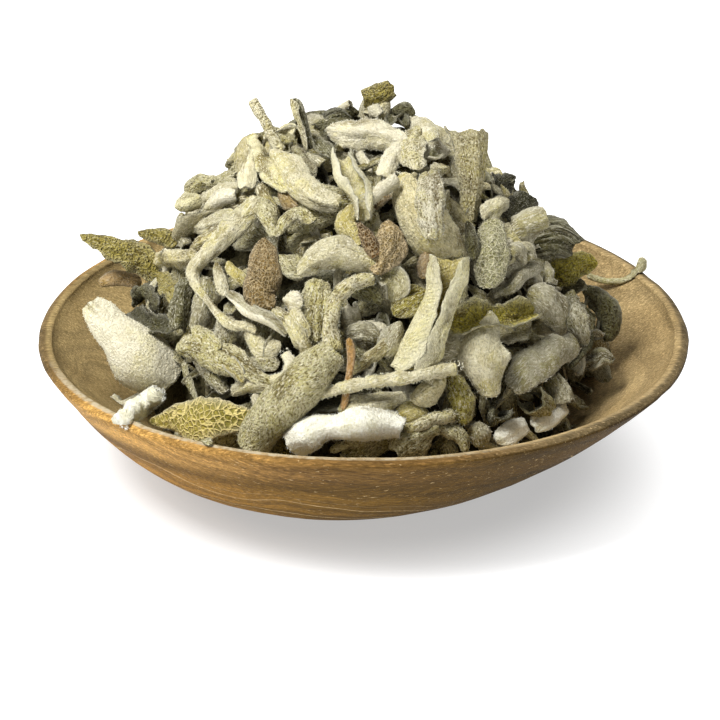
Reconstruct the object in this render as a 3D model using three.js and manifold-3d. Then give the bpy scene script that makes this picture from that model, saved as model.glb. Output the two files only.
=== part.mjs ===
// A shallow carved wooden bowl heaped with loose dried sage leaves.
// Millimetres, +Z up. The origin is the middle of the bowl's flat foot.

import * as THREE from 'three';
import { mergeVertices } from 'three/addons/utils/BufferGeometryUtils.js';
import Module from 'manifold-3d';

const wasm = await Module();
wasm.setup();

const DEG = Math.PI / 180;

// ---- Driving dimensions ---------------------------------------------------------------------

// The bowl's plan is a slightly uneven oval: one mean radius and four small swings.
const RIM_RADIUS = 88.2;
const RIM_FRONT_BACK = 6.3;      // the back is fuller than the front
const RIM_LEFT_RIGHT = 1.0;
const RIM_OVAL = 0.5;
const RIM_HEIGHT = 38;
const RIM_WARP = 1.3;            // front and back stand this much higher than the sides
const WARP_FROM = 0.4;           // the warp starts at this part of the radius
const LIP_WIDTH = 0.045;         // parts of the radius
const FOOT_PART = 0.30;          // the foot's radius as a part of the rim's
const FOOT_SHIFT = 10;           // the foot sits this far to the left of the rim's middle
const WALL_POWER = 2.2;
const WALL_POWER_SWING = 0.25;   // the left wall is fuller than the right
const FLOOR_THICKNESS = 7;
const INSIDE_POWER = 2.4;
const BOWL_SIDES = 44;

// The heap is a dome of leaves.
const HEAP_RADIUS = 67;
const HEAP_CENTRE_Y = 2;
const HEAP_FOOT_Z = 28;
const HEAP_TOP_Z = 96;
const HEAP_POWER = 2.45;

// The leaves pressed together inside it.
const CORE_PART = 0.86;
const CORE_FOOT_Z = 20;
const CORE_DEPTH = 11;
const CORE_POWER = 3;
const CORE_SIDES = 12;

// Leaves on the front are laid by sight: u to the right and v up, in mm, as seen from a seat in front
// of the bowl, and lift is how far a point stands out of the heap towards that seat.
const SIGHT_PITCH = 25 * DEG;
const SIGHT_DISTANCE = 850;
const SIGHT_AIM_Z = 29.4;
const SIGHT_NEAR = 600;
const SIGHT_FAR = 1000;
const SIGHT_STEP = 2;
const HEAP_REACH = 14;           // a line of sight that passes this close over the heap still stops on it

// Blades and clearances.
const BLADE_THICKNESS = 1.0;
const NARROWEST = 1.8;
const FULLEST_CURL = 325;        // degrees of arc that a leaf may be curled to
const GAP = 0.3;
const FLOOR_GAP = 0.8;
const CLEAN = 0.06;              // edges shorter than this left by a cut are closed up

// The leaves that fill the heap all round.
const FILL_LEAVES = 58;
const FILL_SEED = 20;
const FILL_SINKS = [0, 4, 8];      // a fill leaf that meets a front leaf is tried this much deeper
const FILL_OVERLAP = 6;          // mm3 of a fill leaf that may be cut away

const FINISH = {
  wood: { color: 0x9a6a3c, roughness: 0.6, metalness: 0 },
  pale: { color: 0xc9c8b4, roughness: 0.95, metalness: 0 },
  felt: { color: 0x9c9f88, roughness: 0.95, metalness: 0 },
  white: { color: 0xd6d4c8, roughness: 0.98, metalness: 0 },
  cream: { color: 0xbdb491, roughness: 0.92, metalness: 0 },
  yellow: { color: 0xb09c4a, roughness: 0.9, metalness: 0 },
  olive: { color: 0x6f6a34, roughness: 0.9, metalness: 0 },
  brown: { color: 0x8a6b4c, roughness: 0.9, metalness: 0 },
  dark: { color: 0x5b5a48, roughness: 0.95, metalness: 0 },
  tan: { color: 0xa5714f, roughness: 0.8, metalness: 0 },
};

// ---- The leaves, named, front to back in the order in which they give way to each other ------------

// A blade has a path of [u, v, lift] points, its width as seen, how far it is curled (degrees of arc)
// and how it is turned about its path: 0 shows its back, 180 shows its open side.
// A stalk has a path and its thickness. Rows of one name are one leaf.
const LEAVES = [
  { name: 'front_roll_leaf', tone: 'felt',
    path: [[-31, -24, 6], [-24, -15, 7], [-15.5, -5.5, 8], [-7, 3, 7]], wide: [8.5, 11, 11.2, 8],
    curl: [230, 280, 290, 220], turn: [-20], across: 7 },
  { name: 'front_roll_leaf', stalk: true,
    path: [[-7.5, 2, 7], [-8, 9.5, 7], [-6.5, 16, 7], [-2.5, 20.5, 7], [4, 22.5, 5]],
    wide: [5, 4, 3.8, 3.8, 3.2] },
  { name: 'white_tube_leaf', tone: 'white',
    path: [[-18.5, -23.5, 4], [-13, -20, 5], [-7, -18.5, 6], [1.5, -17.5, 6], [10.5, -18, 5]],
    wide: [6.6, 8.4, 5.8, 8.2, 6.4], curl: [325], turn: [0], across: 6 },
  { name: 'forked_leaf', tone: 'felt', path: [[9, -25.5, 4], [14, -21.5, 5], [21, -18.5, 6]],
    wide: [5, 9.5, 5], curl: [110], turn: [0] },
  { name: 'forked_leaf', stalk: true, path: [[12, -19.5, 5], [19, -16.5, 6], [26, -15, 5]],
    wide: [2.8, 3.4, 3.6] },
  { name: 'woolly_twig', tone: 'pale', stalk: true,
    path: [[-11, -9.5, 6], [0, -6.5, 8], [14, -4.5, 10], [26.5, -2, 10]], wide: [2.2, 3.2, 3.3, 3.2] },
  { name: 'paper_strip', tone: 'tan',
    path: [[-3, 6, 8], [-2.5, -0.5, 8], [-3.5, -7, 7], [-4.5, -13.5, 5]], wide: [2.2, 2.2, 1.9, 1.8],
    curl: [40], turn: [20], across: 2 },
  { name: 'yellow_net_leaf', tone: 'yellow',
    path: [[-57, -17, 3], [-48.5, -16.5, 5], [-39.5, -16, 6], [-29, -15, 4]],
    wide: [1.2, 7, 12.8, 9, 3], curl: [60], turn: [0] },
  { name: 'cone_leaf', tone: 'pale', level: 2,
    path: [[-73.5, 15.5, 3], [-66.5, 8, 6], [-59.5, 0.5, 8], [-52, -6.5, 5]], wide: [6.5, 11, 16.5, 14],
    curl: [130, 150, 160, 150], turn: [0, -8, -8, 0], across: 5 },
  { name: 'cone_leaf', stalk: true, path: [[-55, -9, 5], [-59.5, -12.5, 5], [-65.5, -17, 3]],
    wide: [4.4, 5.2, 4.4] },
  { name: 'fork_leaf', tone: 'felt',
    path: [[-49.5, 2.5, 4], [-42.5, 3, 6], [-35.5, 0, 6], [-30, -3.5, 6], [-21.5, -8, 4]],
    wide: [5, 9, 8.5, 5, 2.8], curl: [120], turn: [0] },
  { name: 'fork_leaf', path: [[-45, 8.5, 5], [-42, 5, 6], [-38, 2.5, 6]], wide: [3.5, 6, 5],
    curl: [110], turn: [0] },
  { name: 'brown_leaf', tone: 'brown',
    path: [[-26, 33, 5], [-26.5, 25, 7], [-27.5, 18, 6], [-24.5, 13.5, 4]], wide: [5, 9, 8.5, 4],
    curl: [110], turn: [0] },
  { name: 'bent_leaf', tone: 'pale',
    path: [[-28, 44, 4], [-34.5, 36.5, 7], [-45, 25, 7], [-41.5, 16.5, 7], [-36, 10.5, 7], [-28, 8, 5]],
    wide: [6.4, 6, 4, 2.4, 2.6, 2.2], curl: [130], turn: [0], across: 3 },
  { name: 'sibling_leaf', tone: 'felt',
    path: [[-30.5, 44, 3], [-26.5, 42, 4], [-24.5, 38, 4], [-23.5, 33.5, 3]], wide: [4, 5, 4, 3],
    curl: [120], turn: [0], across: 3 },
  { name: 'upright_roll_leaf', tone: 'felt', path: [[-47.5, 22, 3], [-49, 15.5, 4], [-50, 8, 3]],
    wide: [4, 5.4, 4.4], curl: [210], turn: [0] },
  { name: 'grey_upright_leaf', tone: 'felt', path: [[-41.5, 22, 2], [-43, 15.5, 4], [-45, 8, 2]],
    wide: [4.5, 6.4, 4.6], curl: [150], turn: [20] },
  { name: 'split_leaf', tone: 'cream', path: [[-55, 27, 3], [-49.5, 27.5, 4], [-43.5, 29, 3]],
    wide: [4.4, 5.6, 4], curl: [130], turn: [30] },
  { name: 'pointed_olive_leaf', tone: 'olive', level: 2,
    path: [[-76.5, 34, 0], [-67.5, 31, 2], [-60.5, 28, 3], [-56, 22, 3]], wide: [1.8, 7, 9.4, 5],
    curl: [70], turn: [-20] },
  { name: 'back_olive_leaf', tone: 'olive', level: 2,
    path: [[-60.5, 35, 0], [-55, 34, 1], [-50, 31, 2]], wide: [2.5, 5, 4.4], curl: [70], turn: [0],
    across: 2 },
  { name: 'flat_tan_strip', tone: 'tan', level: 2,
    path: [[-71.5, 21, 1], [-66.5, 22.5, 1.5], [-60, 21, 1.5]], wide: [2.6, 4.4, 3.2], curl: [50],
    turn: [0], across: 2 },
  { name: 'dark_left_leaf', tone: 'dark', path: [[-61.5, 14.5, 2], [-59, 18, 3], [-55, 14.5, 2]],
    wide: [4, 6.4, 4.6], curl: [100], turn: [40] },
  { name: 'yellow_lobe_leaf', tone: 'cream', path: [[-50, 42, 0], [-47, 43, 2], [-43.5, 44.5, 2]],
    wide: [4, 6, 4.6], curl: [110], turn: [0], across: 3 },
  { name: 'grey_back_lobe', tone: 'felt',
    path: [[-48, 45.5, -1], [-44.5, 48, 0], [-39, 48.5, 1], [-33.5, 48, 1]], wide: [3.4, 5, 4.6, 3],
    curl: [110], turn: [0], across: 3 },
  { name: 'left_spike', tone: 'felt', level: 3,
    path: [[-29.5, 71, 0], [-27, 67, 1], [-24.5, 62.5, 1], [-21.5, 57, 2]], wide: [1.8, 2.2, 2.5, 3],
    curl: [170], turn: [-30], across: 2 },
  { name: 'middle_spike', tone: 'felt', level: 3,
    path: [[-17.5, 71, 0], [-16.5, 67, 1], [-15, 62.5, 1], [-13.5, 57, 2]], wide: [2, 3.4, 3.2, 3],
    curl: [220], turn: [120], across: 3 },
  { name: 'arched_top_leaf', tone: 'white',
    path: [[-28, 61, 1], [-29.5, 57, 3], [-30.5, 52, 3], [-31.5, 46.5, 3]], wide: [3.4, 5.4, 5.8, 4.6],
    curl: [140], turn: [0], across: 3 },
  { name: 'ridged_twin_leaf', tone: 'cream',
    path: [[-29, 60.5, 2], [-27.5, 55.5, 4], [-23.5, 50.5, 5], [-18.5, 46.5, 4]],
    wide: [4, 5.4, 5.6, 4], curl: [150], turn: [-20] },
  { name: 'open_top_tube', tone: 'pale',
    path: [[-23, 56, 3], [-20, 52.5, 6], [-16.5, 48, 6], [-12.5, 44.5, 5], [-5.5, 42.5, 4]],
    wide: [4.4, 7.8, 8.2, 6.4, 4.6], curl: [150], turn: [0], across: 5 },
  { name: 'crest_leaf', tone: 'white',
    path: [[-8.5, 63, 1], [-3, 62, 2], [2.5, 62, 2], [8, 61, 2], [12.5, 58.5, 1]],
    wide: [5, 9, 8.8, 7, 4.6], curl: [100], turn: [0] },
  { name: 'top_olive_leaf', tone: 'olive', level: 1, path: [[1, 71, 0], [5.5, 72.5, 1], [9, 74.5, 0]],
    wide: [4.8, 6.4, 5.2], curl: [60], turn: [0] },
  { name: 'top_olive_leaf', level: 1, path: [[7, 71.5, 0], [6, 68.5, 0.5], [5, 64.5, 1]],
    wide: [3, 4, 3.4], curl: [120], turn: [0], across: 2 },
  { name: 'top_olive_leaf', level: 1, path: [[1.5, 71, 0], [1, 68.5, 0.5], [2, 64.5, 1]],
    wide: [3.4, 4.2, 4], curl: [120], turn: [30], across: 2 },
  { name: 'right_crest_leaf', tone: 'pale', path: [[13, 65.5, 0], [16.5, 63, 1], [19.5, 59, 1]],
    wide: [4.6, 7.4, 5], curl: [120], turn: [0] },
  { name: 'speckled_leaf', tone: 'cream',
    path: [[16.5, 63, 2], [14.5, 59.5, 4], [14.5, 55.5, 4], [15, 52, 4]], wide: [4, 7.4, 7.4, 4],
    curl: [90], turn: [0] },
  { name: 'white_top_lobe', tone: 'white', path: [[11.5, 58.5, 1], [8, 54.5, 3], [5.5, 50, 3]],
    wide: [4, 5, 4.2], curl: [130], turn: [0], across: 3 },
  { name: 'yellow_trough_leaf', tone: 'cream',
    path: [[-5, 56.5, 4], [-3, 51, 7], [-1, 47, 7], [0.5, 42.5, 7], [1.5, 38, 5]],
    wide: [5, 6.8, 6.8, 5, 3.8], curl: [240, 285, 300, 310, 250], turn: [180] },
  { name: 'brown_bud', tone: 'brown', path: [[8, 37.5, 5], [8, 31, 7], [4, 23.5, 5]], wide: [5, 10, 5],
    curl: [130], turn: [0] },
  { name: 'middle_leaf', tone: 'pale',
    path: [[-16.5, 23.5, 4], [-11, 27.5, 6], [-4, 29, 6], [4.5, 26, 4]], wide: [4, 8.2, 8.6, 6],
    curl: [120], turn: [0] },
  { name: 'hooded_leaf', tone: 'felt',
    path: [[-23.5, 33.5, 3], [-20.5, 38.5, 5], [-16.5, 40.5, 5], [-12.5, 37.5, 4]],
    wide: [3.4, 4.6, 4.4, 3.6], curl: [150], turn: [-50], across: 3 },
  { name: 'crinkled_leaf', tone: 'felt', path: [[-22, 28, 2], [-18.5, 26, 3], [-13.5, 26, 2]],
    wide: [4, 7, 4.5], curl: [110], turn: [0] },
  { name: 'broad_pale_leaf', tone: 'pale', path: [[-5.5, -13.5, 3], [1.5, -13, 5], [13, -11, 3]],
    wide: [4, 7.4, 5], curl: [100], turn: [0], across: 3 },
  { name: 'heart_leaf', tone: 'felt', path: [[-11, 21.5, 2], [-12, 16, 4], [-12, 5, 3]],
    wide: [7, 9.4, 3.6], curl: [100], turn: [0], across: 3 },
  { name: 'scoop_leaf', tone: 'cream', path: [[4.5, 24, 2], [9.5, 22, 4], [9.5, 16, 2]],
    wide: [4, 7.4, 5.6], curl: [150], turn: [150], across: 3 },
  { name: 'centre_strap_leaf', tone: 'cream', path: [[-3, -4, 3], [3.5, 1, 5], [11, 7, 3]],
    wide: [2.6, 3.8, 3.4], curl: [120], turn: [0], across: 3 },
  { name: 'trumpet_leaf', tone: 'cream',
    path: [[14, -4, 6], [17.5, 5, 8], [21.5, 15.5, 9], [23.5, 23, 9], [24.5, 28.5, 7]],
    wide: [12, 10, 8.8, 10, 9.4], curl: [325, 325, 325, 300, 250], turn: [-178, -182, -186, -190, -194],
    across: 9 },
  { name: 'cream_leaf', tone: 'cream',
    path: [[12, 50.5, 2], [14, 43, 5], [18, 36.5, 6], [23.5, 31.5, 6], [28.5, 26.5, 3]],
    wide: [6, 9.5, 13, 12.5, 6], curl: [120], turn: [0], across: 5 },
  { name: 'tall_tube_leaf', tone: 'cream', level: 2,
    path: [[30.5, 62.5, 0], [31, 56, 2], [31, 49.5, 3], [30.5, 43, 3], [30.5, 38, 3]],
    wide: [9.8, 8.8, 7.6, 5.4, 4], curl: [210, 240, 240, 220, 190], turn: [-25], across: 6 },
  { name: 'white_roll_leaf', tone: 'white',
    path: [[19.5, 51.5, 7], [19.5, 45.5, 11], [19.5, 39, 11], [20, 33, 9]], wide: [6, 7.6, 7, 5.4],
    curl: [170], turn: [10], across: 5 },
  { name: 'dark_ragged_leaf', tone: 'olive', path: [[39.5, 38.5, -1], [43.5, 42, 1], [47, 45, 0]],
    wide: [4, 8, 5.6], curl: [80], turn: [0] },
  { name: 'dark_ragged_leaf', path: [[37, 48, 0], [40, 48, 0], [43, 49, -1]], wide: [7, 6, 3.4],
    curl: [80], turn: [0], across: 2 },
  { name: 'grey_net_leaf', tone: 'felt',
    path: [[35.5, 38, 2], [36, 33, 5], [36, 27.5, 5], [34.5, 19.5, 4]], wide: [5.5, 7.8, 9, 6],
    curl: [120], turn: [0] },
  { name: 'brush_leaf', tone: 'felt', level: 1, path: [[39, 33.5, 2], [43.5, 36, 4], [51.5, 38.5, 4]],
    wide: [6, 9, 6], curl: [130], turn: [0] },
  { name: 'brush_leaf', level: 1,
    path: [[44.5, 31.5, 2], [49.5, 33, 3], [54.5, 33.5, 3], [59.5, 31, 1]], wide: [6, 10.5, 10.5, 6],
    curl: [100], turn: [0] },
  { name: 'right_olive_leaf', tone: 'olive', level: 1,
    path: [[51.5, 21, 5], [57, 24.5, 7], [64.5, 26.5, 4]], wide: [6, 8.6, 5], curl: [100], turn: [0] },
  { name: 'bare_stem', tone: 'felt', stalk: true, level: 1,
    path: [[62, 23, 2], [68.5, 21.5, 3], [75, 22.5, 3], [77.5, 28, 3]], wide: [1.8, 2, 2.8, 3] },
  { name: 'grey_lobe_leaf', tone: 'felt',
    path: [[45.5, 18.5, 2], [49.5, 16.5, 5], [52.5, 13.5, 5], [54, 10, 3]], wide: [4.6, 9.4, 10.4, 6],
    curl: [120], turn: [0] },
  { name: 'speckled_right_leaf', tone: 'felt',
    path: [[58, 18, 3], [58.5, 13, 5], [59.5, 8, 5], [61, 3.5, 3]], wide: [5, 6.4, 6, 4], curl: [130],
    turn: [0] },
  { name: 'wavy_leaf', tone: 'olive', path: [[23.5, 11, 4], [32, 11.5, 6], [40, 12, 6], [48, 13.5, 4]],
    wide: [9, 9.5, 8, 5.5], curl: [130], turn: [150], across: 4, wave: 1.2 },
  { name: 'spade_leaf', tone: 'pale',
    path: [[35.5, 12.5, 5], [34, 5.5, 8], [34, -1, 8], [35.5, -10, 5]], wide: [4, 10.5, 13.2, 5.6],
    curl: [90], turn: [0] },
  { name: 'grey_slab_leaf', tone: 'felt',
    path: [[41, -8, 4], [46, -2.5, 6], [52.5, 2, 6], [59, 4.5, 3]], wide: [6.4, 9.6, 9.2, 6],
    curl: [70], turn: [0] },
  { name: 'right_crescent_leaf', tone: 'dark', level: 1,
    path: [[61.5, 20, 1], [65.5, 16, 2], [68, 11, 2], [67, 5, 1]], wide: [3.4, 6.8, 6.6, 3],
    curl: [120], turn: [0] },
  { name: 'folded_right_leaf', tone: 'felt', level: 1,
    path: [[59.5, -1.5, 3], [63.5, 0, 4], [66, 1.5, 4], [69.5, 0.5, 2]], wide: [3.6, 5.6, 6, 3.6],
    curl: [150], turn: [-30], across: 3 },
  { name: 'ring_roll_leaf', tone: 'felt', path: [[50.5, -15, -2], [49, -12.5, 2], [47, -11, 5]],
    wide: [5.4, 6.6, 7], curl: [310], turn: [0], across: 6 },
  { name: 'ring_roll_leaf', path: [[52.5, -4.5, 2], [54.5, -8.5, 4], [55.5, -12, 5]],
    wide: [4.6, 5.8, 6.2], curl: [290], turn: [0], across: 5 },
  { name: 'right_chip', tone: 'white', path: [[47.5, -19, 3], [51.5, -15.5, 4.5], [56, -12.5, 4]],
    wide: [4.6, 6.4, 5], curl: [30], turn: [0], across: 2 },
  { name: 'left_chip', tone: 'white', path: [[37, -22, 2], [41, -20, 3.5], [45.5, -17.5, 3]],
    wide: [3.4, 6.4, 4.6], curl: [30], turn: [0], across: 2 },
];

// ---- Small helpers --------------------------------------------------------------------------

const clamp = (value, low, high) => Math.min(high, Math.max(low, value));

// Repeatable random numbers from 0 to 1.
function randomStream(seed) {
  let state = seed >>> 0;
  return () => {
    state = (state + 0x6d2b79f5) >>> 0;
    let t = state;
    t = Math.imul(t ^ (t >>> 15), t | 1);
    t ^= t + Math.imul(t ^ (t >>> 7), t | 61);
    return ((t ^ (t >>> 14)) >>> 0) / 4294967296;
  };
}

// A smooth value through a list of control values, at t from 0 to 1.
function along(values, t) {
  if (values.length === 1) return values[0];
  const points = values.map((value) => new THREE.Vector3(value, 0, 0));
  return new THREE.CatmullRomCurve3(points, false, 'catmullrom', 0.5).getPoint(t).x;
}

// ---- The bowl's and the heap's surfaces -------------------------------------------------------

const planRadius = (angle) => RIM_RADIUS + RIM_FRONT_BACK * Math.sin(angle)
  + RIM_LEFT_RIGHT * Math.cos(angle) + RIM_OVAL * Math.cos(2 * angle);

// How far out a point lies, as a part of the rim's radius, and how much the warp lifts it there.
function bowlPart(x, y) {
  return Math.hypot(x - FOOT_SHIFT, y) / planRadius(Math.atan2(y, x - FOOT_SHIFT));
}

function warp(part, angle) {
  const reach = clamp((part - WARP_FROM) / (1 - WARP_FROM), 0, 1);
  return -RIM_WARP * Math.cos(2 * angle) * reach * reach;
}

function insideHeight(part) {
  const reach = clamp(part / (1 - LIP_WIDTH), 0, 1);
  return FLOOR_THICKNESS + (RIM_HEIGHT - 1 - FLOOR_THICKNESS) * reach ** INSIDE_POWER;
}

// The height of the bowl's upper surface: its inside, and its lip all the way out.
function bowlInside(x, y) {
  const part = bowlPart(x, y);
  const height = part > 1 - LIP_WIDTH ? RIM_HEIGHT : insideHeight(part);
  return height + warp(part, Math.atan2(y, x - FOOT_SHIFT));
}

function heapTop(x, y) {
  const part = Math.hypot(x - FOOT_SHIFT, y - HEAP_CENTRE_Y) / HEAP_RADIUS;
  return HEAP_FOOT_Z + (HEAP_TOP_Z - HEAP_FOOT_Z) * (1 - Math.min(part, 1.4) ** HEAP_POWER);
}

const skin = (x, y) => Math.max(heapTop(x, y), bowlInside(x, y));

function skinNormal(x, y) {
  const step = 0.5;
  const slopeX = (skin(x + step, y) - skin(x - step, y)) / (2 * step);
  const slopeY = (skin(x, y + step) - skin(x, y - step)) / (2 * step);
  return new THREE.Vector3(-slopeX, -slopeY, 1).normalize();
}

// ---- Laying by sight ------------------------------------------------------------------------

const AIM = new THREE.Vector3(FOOT_SHIFT, 0, SIGHT_AIM_Z);
const TO_SEAT = new THREE.Vector3(0, -Math.cos(SIGHT_PITCH), Math.sin(SIGHT_PITCH));
const SIGHT_UP = new THREE.Vector3(0, Math.sin(SIGHT_PITCH), Math.cos(SIGHT_PITCH));
const SEAT = AIM.clone().addScaledVector(TO_SEAT, SIGHT_DISTANCE);

function sightRay(u, v) {
  return AIM.clone().add(new THREE.Vector3(u, 0, 0)).addScaledVector(SIGHT_UP, v).sub(SEAT).normalize();
}

// How far from the seat the line of sight through (u, v) meets the heap or the bowl. A line that only
// just clears the heap stops where it is nearest to it.
function sightDistance(u, v) {
  const ray = sightRay(u, v);
  const clearance = (distance, surface) => {
    const point = SEAT.clone().addScaledVector(ray, distance);
    return point.z - surface(point.x, point.y);
  };
  let nearest = SIGHT_NEAR;
  let meets = SIGHT_NEAR;
  while (meets < SIGHT_FAR && clearance(meets, skin) > 0) {
    if (clearance(meets, heapTop) < clearance(nearest, heapTop)) nearest = meets;
    meets += SIGHT_STEP;
  }
  let [low, high] = [meets - SIGHT_STEP, meets];
  for (let halving = 0; halving < 12; halving += 1) {
    const middle = (low + high) / 2;
    if (clearance(middle, skin) > 0) low = middle;
    else high = middle;
  }
  const isOverHeap = nearest < low - SIGHT_STEP && clearance(nearest, heapTop) < HEAP_REACH;
  return isOverHeap ? nearest : low;
}

function layBySight(path, level) {
  const distances = path.map(([u, v]) => sightDistance(u, v));
  return path.map(([u, v, lift], i) => {
    const distance = (level === undefined ? distances[i] : distances[level]) - lift;
    return SEAT.clone().addScaledVector(sightRay(u, v), distance);
  });
}

// ---- Solids ---------------------------------------------------------------------------------

function solidFrom(vertices, triangles) {
  const mesh = new wasm.Mesh({
    numProp: 3,
    vertProperties: new Float32Array(vertices),
    triVerts: new Uint32Array(triangles),
  });
  const solid = new wasm.Manifold(mesh);
  return solid;
}

// One closed body through rings of points, each ring with its last half facing its first half.
function loft(rings) {
  const size = rings[0].length;
  const half = size / 2;
  const at = (ring, i) => ring * size + (i % size);
  const triangles = [];
  const quad = (a, b, c, d) => triangles.push(a, b, c, a, c, d);
  for (let ring = 0; ring + 1 < rings.length; ring += 1) {
    for (let i = 0; i < size; i += 1) {
      const corners = [at(ring, i), at(ring, i + 1), at(ring + 1, i + 1), at(ring + 1, i)];
      if (i < half) quad(...corners);
      else quad(corners[1], corners[2], corners[3], corners[0]);
    }
  }
  const last = rings.length - 1;
  for (let i = 0; i + 1 < half; i += 1) {
    quad(at(0, i), at(0, size - 1 - i), at(0, size - 2 - i), at(0, i + 1));
    quad(at(last, i), at(last, i + 1), at(last, size - 2 - i), at(last, size - 1 - i));
  }
  return solidFrom(rings.flat().flatMap((point) => point.toArray()), triangles);
}

// A point's frame on a path: along it, out of the leaf's back, and across.
function frameAt(curve, t, out, turn) {
  const forward = curve.getTangent(t);
  const back = out.clone().addScaledVector(forward, -out.dot(forward)).normalize();
  back.applyAxisAngle(forward, turn);
  return { point: curve.getPoint(t), forward, back, across: forward.clone().cross(back) };
}

// A pair of points of a blade, raised together where they would sink into the bowl.
function keepOffBowl(pair) {
  const sunk = Math.max(...pair.map(({ x, y, z }) => bowlInside(x, y) + FLOOR_GAP - z), 0);
  pair.forEach((point) => { point.z += sunk; });
  return pair;
}

// A curled blade along a path. grow makes it larger all round, for cutting its neighbours.
function blade(points, out, shape, grow = 0) {
  const curve = new THREE.CatmullRomCurve3(points, false, 'catmullrom', 0.5);
  const across = shape.across ?? 3;
  const rings = [];
  for (let row = 0; row <= shape.rows; row += 1) {
    const t = row / shape.rows;
    const frame = frameAt(curve, t, out, along(shape.turn, t) * DEG);
    const half = Math.min(along(shape.curl, t), FULLEST_CURL) * DEG / 2;
    const radius = Math.max(along(shape.wide, t), NARROWEST) / 2 / Math.sin(Math.min(half, Math.PI / 2));
    const thickness = Math.min(BLADE_THICKNESS, 1.2 * radius);
    const centre = frame.point.clone().addScaledVector(frame.back, -radius * Math.sin(half) / half);
    const ends = (row === 0 ? -grow : 0) + (row === shape.rows ? grow : 0);
    centre.addScaledVector(frame.forward, ends);
    const outer = [];
    const inner = [];
    for (let column = 0; column <= across; column += 1) {
      const side = 2 * column / across - 1;
      const angle = side * (half + grow / radius);
      const spoke = frame.across.clone().multiplyScalar(Math.sin(angle))
        .addScaledVector(frame.back, Math.cos(angle));
      const ripple = (shape.wave ?? 0) * side * side * Math.sin(12 * t);
      const outerRadius = radius + ripple + thickness / 2 + grow;
      const innerRadius = ripple + Math.max(radius - thickness / 2 - grow, 0.1 * radius);
      const pair = [outerRadius, innerRadius].map((reach) => centre.clone().addScaledVector(spoke, reach));
      keepOffBowl(pair);
      outer.push(pair[0]);
      inner.unshift(pair[1]);
    }
    rings.push([...outer, ...inner]);
  }
  return loft(rings);
}

// A round stalk along a path.
function stalk(points, wide, grow = 0) {
  const curve = new THREE.CatmullRomCurve3(points, false, 'catmullrom', 0.5);
  const rows = 2 * (points.length - 1);
  const rings = [];
  for (let row = 0; row <= rows; row += 1) {
    const t = row / rows;
    const frame = frameAt(curve, t, TO_SEAT, 0);
    const radius = along(wide, t) / 2 + grow;
    const ends = (row === 0 ? -grow : 0) + (row === rows ? grow : 0);
    const ring = [];
    for (let side = 0; side < 6; side += 1) {
      const angle = side * 60 * DEG;
      const point = frame.point.clone().addScaledVector(frame.forward, ends)
        .addScaledVector(frame.across, -radius * Math.cos(angle))
        .addScaledVector(frame.back, radius * Math.sin(angle));
      ring.push(...keepOffBowl([point]));
    }
    rings.push(ring);
  }
  return loft(rings);
}

// A lathe geometry as a closed solid, each of its vertices moved by place(part, height, angle, row).
function latheSolid(profile, sides, place) {
  const geometry = new THREE.LatheGeometry(profile, sides);
  const position = geometry.attributes.position;
  for (let i = 0; i < position.count; i += 1) {
    const row = i % profile.length;
    const angle = Math.floor(i / profile.length) % sides * 2 * Math.PI / sides;
    position.setXYZ(i, ...place(profile[row].x, profile[row].y, angle, row));
  }
  geometry.deleteAttribute('normal');
  geometry.deleteAttribute('uv');
  const merged = mergeVertices(geometry, 0.001);
  const corners = Array.from(merged.index.array);
  const triangles = [];
  for (let i = 0; i < corners.length; i += 3) {
    const [a, b, c] = corners.slice(i, i + 3);
    if (a !== b && b !== c && c !== a) triangles.push(a, b, c);
  }
  return solidFrom(merged.attributes.position.array, triangles);
}

// ---- The bowl -------------------------------------------------------------------------------

// lift raises the whole bowl, for cutting its room out of a leaf that lies on it.
function bowlSolid(lift = 0) {
  const lipTop = [1 - 0.25 * LIP_WIDTH, 1 - 0.75 * LIP_WIDTH];
  const outsideParts = [0, FOOT_PART, 0.42, 0.54, 0.66, 0.78, 0.9, 1];
  const insideParts = [1 - LIP_WIDTH, 0.84, 0.7, 0.55, 0.38, 0.2, 0];
  const profile = [...outsideParts, ...lipTop, ...insideParts].map((part) => new THREE.Vector2(part, 0));
  const firstInside = outsideParts.length + lipTop.length;
  return latheSolid(profile, BOWL_SIDES, (part, _, angle, row) => {
    const isOutside = row < outsideParts.length;
    const isInside = row >= firstInside;
    const power = WALL_POWER - WALL_POWER_SWING * Math.cos(angle);
    const climb = clamp((part - FOOT_PART) / (1 - FOOT_PART), 0, 1) ** power;
    let height = RIM_HEIGHT;
    if (isOutside) height = (RIM_HEIGHT - 1.5) * climb;
    if (isInside) height = insideHeight(part);
    const shift = isOutside ? FOOT_SHIFT * part : FOOT_SHIFT;
    const radius = part * planRadius(angle);
    return [shift + radius * Math.cos(angle), radius * Math.sin(angle), height + warp(part, angle) + lift];
  });
}

// ---- The leaves on the front ------------------------------------------------------------------

// A row's solid. A long path gets more steps.
function rowSolid(row, grow) {
  const points = layBySight(row.path, row.level);
  if (row.stalk) return stalk(points, row.wide, grow);
  const rows = 2 * row.path.length - (row.path.length > 4 ? 4 : 1);
  return blade(points, TO_SEAT, { ...row, rows }, grow);
}

function namedLeaves() {
  const leaves = new Map();
  for (const row of LEAVES) {
    const leaf = leaves.get(row.name) ?? { tone: row.tone, rows: [] };
    leaf.rows.push(row);
    leaves.set(row.name, leaf);
  }
  return leaves;
}

const joined = (solids) => solids.reduce((whole, solid) => whole.add(solid));

// ---- The leaves that fill the heap --------------------------------------------------------------

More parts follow.
